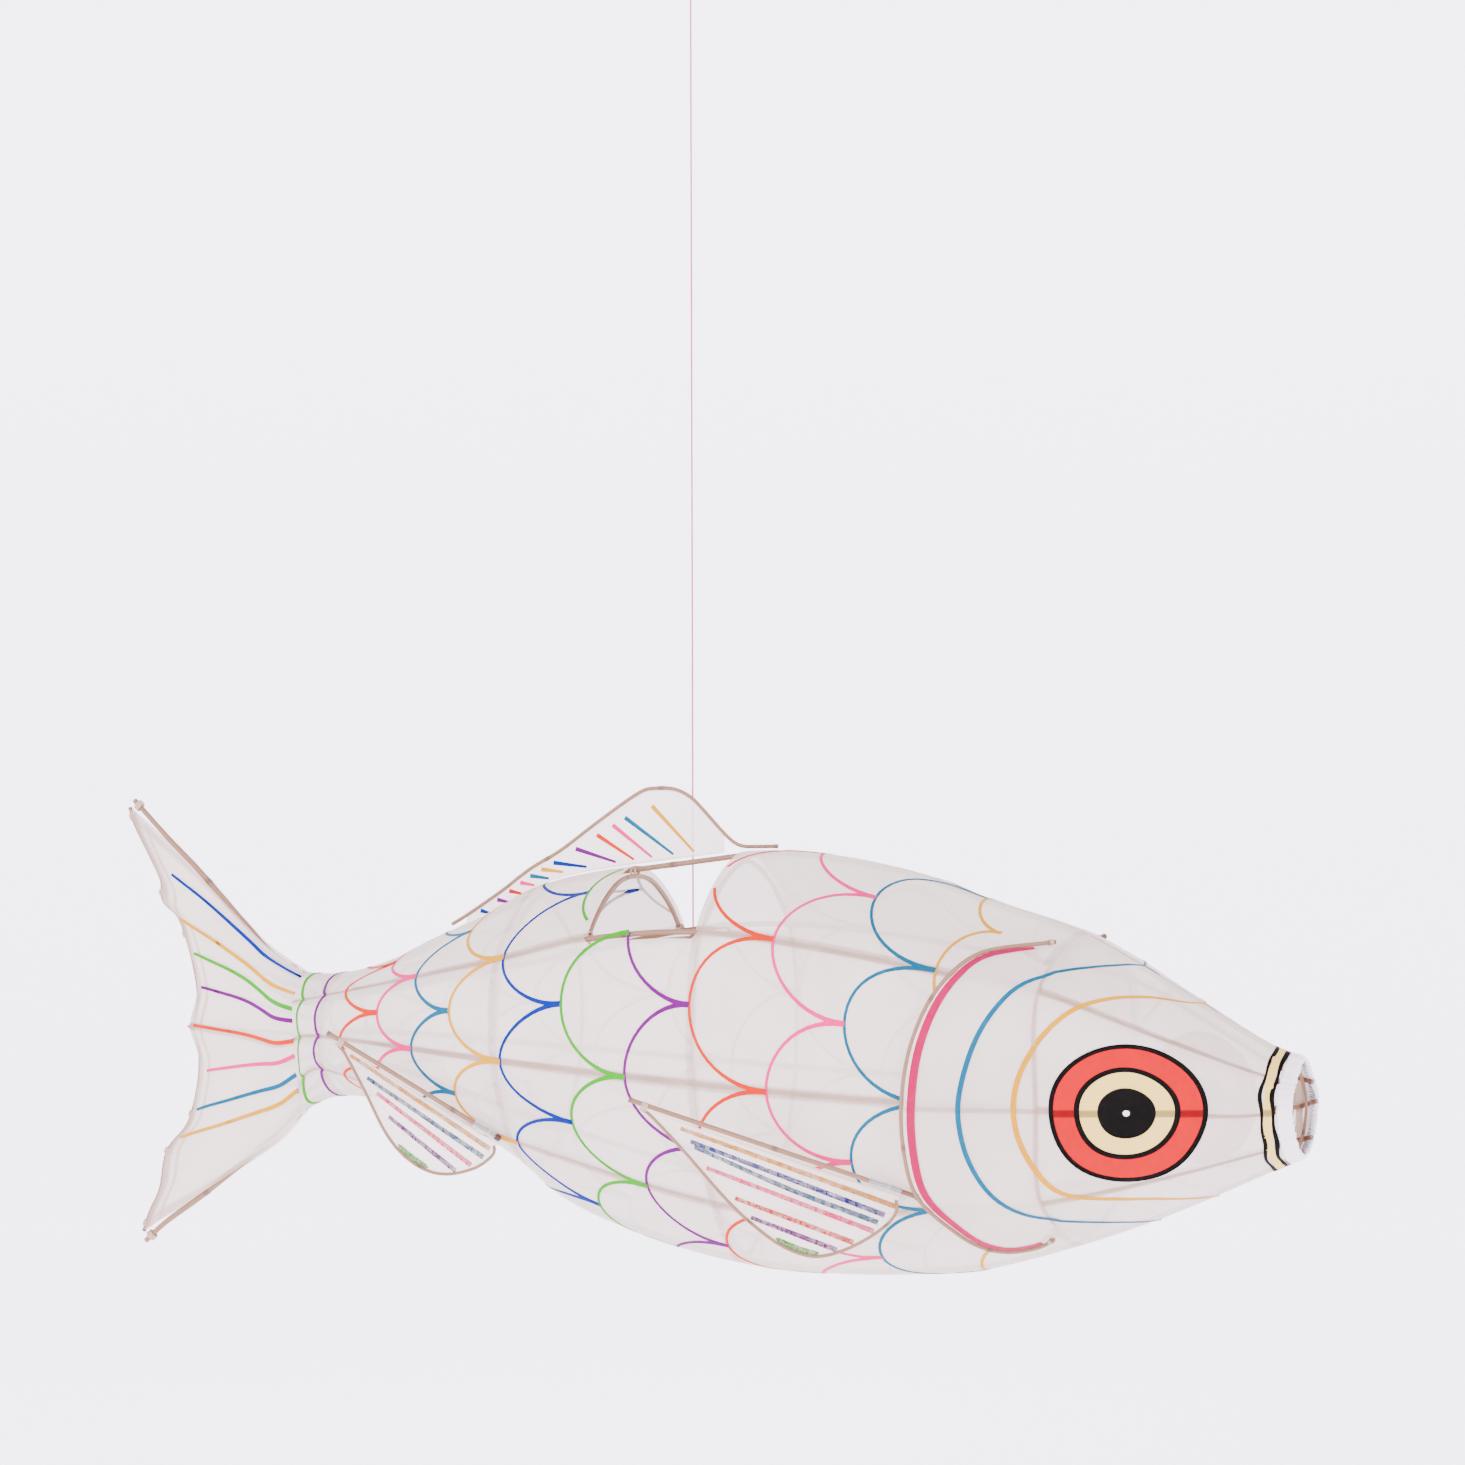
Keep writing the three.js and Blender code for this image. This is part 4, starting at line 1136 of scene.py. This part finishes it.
for node, spots in (("tail_upper_rod", (0.05, 0.97)), ("tail_lower_rod", (0.05, 0.96)),
                    ("tail_upper_rim", (0.04, 0.4, 0.62)), ("tail_lower_rim", (0.04, 0.4, 0.62)),
                    ("tail_middle_rod", (0.03, 0.96))):
    place, radius = tail_rods[node]
    for t in spots:
        run = place(min(t + 0.02, 1)) - place(max(t - 0.02, 0))
        binding(bm, place(t), run, radius + 1.4 * MM, ((0, 1, 0), radius + THREAD), turns=7)
piece("tail_ties", bm, thread, "fish")
upper_edge = upright([(-350, 50)] + UPPER_LEAD[1:-1] + [(-514, 196)])
lower_edge = upright([(-350, -48)] + LOWER_LEAD[1:-1] + [(-501, -169)])
rear_edge = upright(LOWER_RIM[:-1] + [(-460, NOTCH)] + UPPER_RIM[-2::-1])


def tail_silk(u, v, hand, lift=0.0):
    """The tail's silk, u from the body to the rear edge and v from the bottom to the top."""
    s = 4 - 4 * v
    root = on_frame(TAIL_END, s)
    spot = lower_edge(u).lerp(upper_edge(u), v)
    spot += Vector((TAIL_END, 0, root.z)) * (1 - u) + rear_edge(v) * u
    spot -= lower_edge(0).lerp(upper_edge(0), v) * (1 - u)
    spot -= lower_edge(1).lerp(upper_edge(1), v) * u
    share = min(max((TAIL_END - spot.x) / TAIL_PINCH, 0), 1)
    pinch = share * share * (3 - 2 * share)
    flat = -TAIL_FLAT + TAIL_CLOSE * max(u - 0.85, 0) / 0.15
    hollow = 0.8 * MM * sin(pi * u) * sin(pi * v) * (0.5 + noise.noise(Vector((u * 4, v * 9, 5))))
    y = min(flat, flat + (root.y + MM - flat) * (1 - pinch)) + hollow * pinch - lift
    return Vector((spot.x, -y * hand, spot.z))


TAIL_STROKES = [
    ("blue", 0.91, 0.885, 0.84), ("yellow", 0.80, 0.728, 0.98), ("green", 0.70, 0.65, 0.95),
    ("purple", 0.62, 0.573, 0.95), ("orange", 0.50, 0.487, 0.96), ("pale_pink", 0.43, 0.38, 0.92),
    ("cyan", 0.35, 0.293, 0.95), ("yellow", 0.275, 0.216, 0.95),
]
for side, hand in HANDS.items():
    bm = bmesh.new()
    sheet_grid(bm, 44, 64, lambda u, w: (tail_silk(u * 0.994, w, hand), (u, w)))
    cloth(f"{side}_tail_silk", bm, tail_cloth, "fish", [f"{side}_tail_skin"],
          lambda point: Vector((0, hand, 0)), ["tail_upper_rod", "tail_lower_rod"])
    for number, (colour, root, rear, reach) in enumerate(TAIL_STROKES, start=1):
        bm = bmesh.new()

        def brushed(t):
            u = t * reach
            v = root + (rear - root) * u
            spot = tail_silk(u, v, hand)
            return spot, (tail_silk(u, v, hand, MM) - spot).normalized()
        stroke(bm, brushed, lambda t: LINE * (1.25 - 0.5 * t), 30)
        inked(f"{side}_tail_stroke_{number}", bm, colour)


# Back fin: one thin bamboo rod bent up from the back and down again to it, and a single sheet of
# silk in the middle plane, with short slanting dashes along it.
DORSAL_RIM = [(76, 166.4), (58, 166), (44, 166.6), (33, 173), (9, 197), (0, 205), (-13, 211),
              (-29, 212), (-44, 209), (-80, 186), (-116, 161), (-143, 146), (-170, 127),
              (-200, 108), (-214, 100)]
dorsal = upright([(x, z - 1.6) for x, z in DORSAL_RIM])
bm = bmesh.new()
rod(bm, dorsal, THIN_ROD, up=(0, 1, 0), step=3 * MM, knuckles=KNUCKLES)
piece("dorsal_rim_stick", bm, bamboo, "fish", ["dorsal_rim"])
DORSAL_FROM, DORSAL_TO = 0.145, 0.955


def dorsal_spot(t, w):
    """The back fin's silk, t along the rim and w from the back up to it."""
    top = dorsal(DORSAL_FROM + t * (DORSAL_TO - DORSAL_FROM))
    foot = on_frame(top.x, 0) + Vector((0, 0, 1.0 * MM))
    top.z = max(top.z - 1.2 * MM, foot.z + 0.3 * MM)
    spot = foot.lerp(top, w)
    return Vector((spot.x, 0, spot.z))


bm = bmesh.new()
sheet_grid(bm, 80, 14, lambda u, w: (dorsal_spot(u, w), (u, w)))
cloth("dorsal_silk", bm, fin_silk_cloth, "fish", ["dorsal_membrane"],
      lambda point: Vector((0, -1, 0)), ["dorsal_rim", "top_splint"])
DASHES = [("yellow", -34, 37), ("cyan", -58, 43), ("pale_pink", -69, 35), ("orange", -83, 33),
          ("purple", -102, 36), ("blue", -122, 30), ("yellow", -133, 20), ("cyan", -143, 17),
          ("pale_pink", -152, 13), ("red", -162, 11), ("purple", -173, 11), ("blue", -188, 8)]
rim_spots = [dorsal(i / 200) for i in range(60, 201)]
rim_x = [p.x for p in reversed(rim_spots)]
rim_z = [p.z for p in reversed(rim_spots)]
for number, (colour, start, run) in enumerate(DASHES, start=1):
    rim = float(np.interp(start * MM, rim_x, rim_z))
    back = on_frame(start * MM, 0).z
    top = Vector((start * MM, 0, rim - 0.2 * (rim - back) - 2 * MM))
    foot_x = (start + run) * MM
    foot = Vector((foot_x, 0, min(on_frame(foot_x, 0).z + 5 * MM, top.z - 2 * MM)))
    bm = bmesh.new()

    def dash(t):
        return top.lerp(foot, t), Vector((0, -1, 0))
    stroke(bm, dash, lambda t: LINE * (1.3 - 0.6 * t), 10)
    # Without this move the wall below comes out flat.
    bmesh.ops.translate(bm, verts=bm.verts, vec=(0, FILM, 0))
    bmesh.ops.solidify(bm, geom=bm.faces[:], thickness=-FILM)
    middle = sum(v.co.y for v in bm.verts) / len(bm.verts)
    bmesh.ops.translate(bm, verts=bm.verts, vec=(0, -middle, 0))
    bmesh.ops.recalc_face_normals(bm, faces=bm.faces)
    piece(f"dorsal_dash_{number}", bm, INKS[colour], "fish", solid=False)


# Side fins: a straight bamboo spar that turns in a clear sleeve on a brown stub, with a thin rod
# bowed below it, silk between the two, and fanned strokes of ink.
clear_tube, plastic = finish("clear_sleeve")
haze = plastic.noise(plastic.node("TexCoord", out=3), 260.0)
plastic.node("OutputMaterial", {}, {"Surface": plastic.node("BsdfPrincipled", {}, {
    "Base Color": plastic.mix(haze, dye(244, 246, 246), dye(226, 230, 230)),
    "Roughness": haze * 0.15 + 0.1,
    "Transmission Weight": 0.85,
    "IOR": 1.45,
    "Normal": plastic.bump(haze, 0.1, 0.2 * MM),
})})
SPAR = 1.9 * MM
SILK_TOP = 3.7
FINS = {
    "pectoral": {
        "reach": 221.03, "spar": 202, "sleeve": (187, 213), "stub": 230,
        "rim": [(6, 4.2), (12, 6), (42, 22), (83, 46), (107, 58), (138, 68.5), (163, 69), (181, 60),
                (199, 43), (211, 26), (214, 15), (211, 7.4)],
        "strokes": [("yellow", [(37.5, 7.7), (212, 11.6)]), ("blue", [(48, 14.7), (206, 20.5)]),
                    ("cyan", [(52, 17.7), (130, 25), (203, 27.5)]),
                    ("pale_pink", [(66, 30), (202, 35)]),
                    ("orange", [(94, 45), (190, 48)]), ("purple", [(110, 55), (180, 57.5)])],
        "patch": (133, 168),
    },
    "pelvic": {
        "reach": 162.74, "spar": 144, "sleeve": (131, 151), "stub": 156,
        "rim": [(6, 4.2), (14, 7), (46, 26), (75, 44), (98, 52), (120, 52), (136, 45), (150, 31),
                (156, 19), (157, 11), (154, 7.4)],
        "strokes": [("yellow", [(18, 5.2), (152, 10.5)]), ("cyan", [(39, 13.5), (151, 19)]),
                    ("pale_pink", [(52, 20), (146, 29.5)]), ("purple", [(70, 31), (138, 40)])],
        "patch": (88, 118),
    },
}
dark_thread = spun("dark_thread", dye(96, 58, 60), dye(52, 30, 34))
joints = {joint["name"]: joint for joint in frame["joints"]}
for side, hand in HANDS.items():
    for kind, size in FINS.items():
        fin = f"{side}_{kind}_fin"
        joint = joints[f"{side}_{kind}_turn"]
        forward = Vector(joint["axis"]).normalized()
        tip = Vector(joint["pos_m"]) - forward * size["reach"] * MM
        level = Vector((forward.y, -forward.x, 0)).normalized()
        down = level.cross(forward).normalized()
        down = -down if down.z > 0 else down
        face = forward.cross(down)
        face = face if face.y * hand > 0 else -face

        def on_fin(a, b):
            return tip + (forward * a + down * b) * MM

        def soaked(bm):
            """Gives a stroke on the fin its thickness, half of it on each face of the silk."""
            bmesh.ops.solidify(bm, geom=bm.faces[:], thickness=4 * FILM)
            middle = sum((v.co - tip).dot(face) for v in bm.verts) / len(bm.verts)
            bmesh.ops.translate(bm, verts=bm.verts, vec=-face * middle)
            bmesh.ops.recalc_face_normals(bm, faces=bm.faces)
        bm = bmesh.new()
        rod(bm, lambda t: on_fin(-7 + t * (size["spar"] + 7), 0), SPAR, up=down, step=3 * MM,
            knuckles=KNUCKLES)
        piece(f"{fin}_spar_stick", bm, bamboo, fin, [f"{fin}_spar"])
        rim_line = through([(a, b, 0) for a, b in size["rim"]])
        bm = bmesh.new()
        rod(bm, lambda t: on_fin(rim_line(t).x, rim_line(t).y), 1.25 * MM, up=face, step=3 * MM)
        piece(f"{fin}_rim_stick", bm, bamboo, fin, [f"{fin}_rim"])
        outline = [rim_line(i / 120) for i in range(121)]
        widest = max(range(121), key=lambda i: outline[i].x)
        below_a = [p.x for p in outline[:widest + 1]]
        below_b = [p.y for p in outline[:widest + 1]]
        first, last = 12.0, outline[widest].x - 1.4

        def fin_silk(u, w):
            a = first + u * (last - first)
            foot = max(float(np.interp(a, below_a, below_b)) - 1.0, SILK_TOP + 0.2)
            return on_fin(a, SILK_TOP + w * (foot - SILK_TOP))
        bm = bmesh.new()
        sheet_grid(bm, 50, 18, lambda u, w: (fin_silk(u, w), (u, w)))
        cloth(f"{fin}_silk", bm, fin_silk_cloth, fin, [f"{fin}_membrane"], lambda point: face,
              [f"{fin}_spar", f"{fin}_rim"])
        for number, (colour, points) in enumerate(size["strokes"], start=1):
            path = through([(a, b, 0) for a, b in points])
            bm = bmesh.new()
            stroke(bm, lambda t: (on_fin(path(t).x, path(t).y), face),
                   lambda t: LINE * (0.75 + 0.35 * t), 20)
            soaked(bm)
            piece(f"{fin}_stroke_{number}", bm, INKS[colour], fin, solid=False)
        low, high = size["patch"]
        bm = bmesh.new()

        def patch(t):
            a = low + t * (high - low)
            return on_fin(a, float(np.interp(a, below_a, below_b)) - 3.4), face
        stroke(bm, patch, lambda t: 4.2 * MM * sin(pi * t) ** 0.4 + 0.2 * MM, 14)
        soaked(bm)
        piece(f"{fin}_patch", bm, INKS["green"], fin, solid=False)
        bm = bmesh.new()
        binding(bm, on_fin(6, 1.4), forward, 2.6 * MM, (down, 3.6 * MM), turns=7)
        piece(f"{fin}_tip_tie", bm, thread, fin)
        bm = bmesh.new()
        low, high = size["sleeve"]
        wall = [(3.0, low), (3.0, high), (2.3, high), (2.3, low)]
        start = [bm.verts.new(on_fin(a, r)) for r, a in wall]
        edges = [bm.edges.new((start[i], start[(i + 1) % 4])) for i in range(4)]
        bmesh.ops.spin(bm, geom=start + edges, cent=tip, axis=forward, angle=2 * pi, steps=24,
                       use_merge=True)
        piece(f"{fin}_clear_sleeve", bm, clear_tube, "fish", [f"{fin}_sleeve"])
        bm = bmesh.new()
        rod(bm, lambda t: on_fin(size["spar"] + 2 + t * (size["stub"] - size["spar"] - 2), 0),
            SPAR, up=down, step=2 * MM)
        piece(f"{fin}_stub_stick", bm, bare_bamboo, "fish", [f"{fin}_stub"])
        bm = bmesh.new()
        binding(bm, on_fin(size["stub"] - 3, 0), forward, 2.5 * MM, (down, 2.5 * MM), turns=6)
        piece(f"{fin}_stub_tie", bm, dark_thread, "fish")
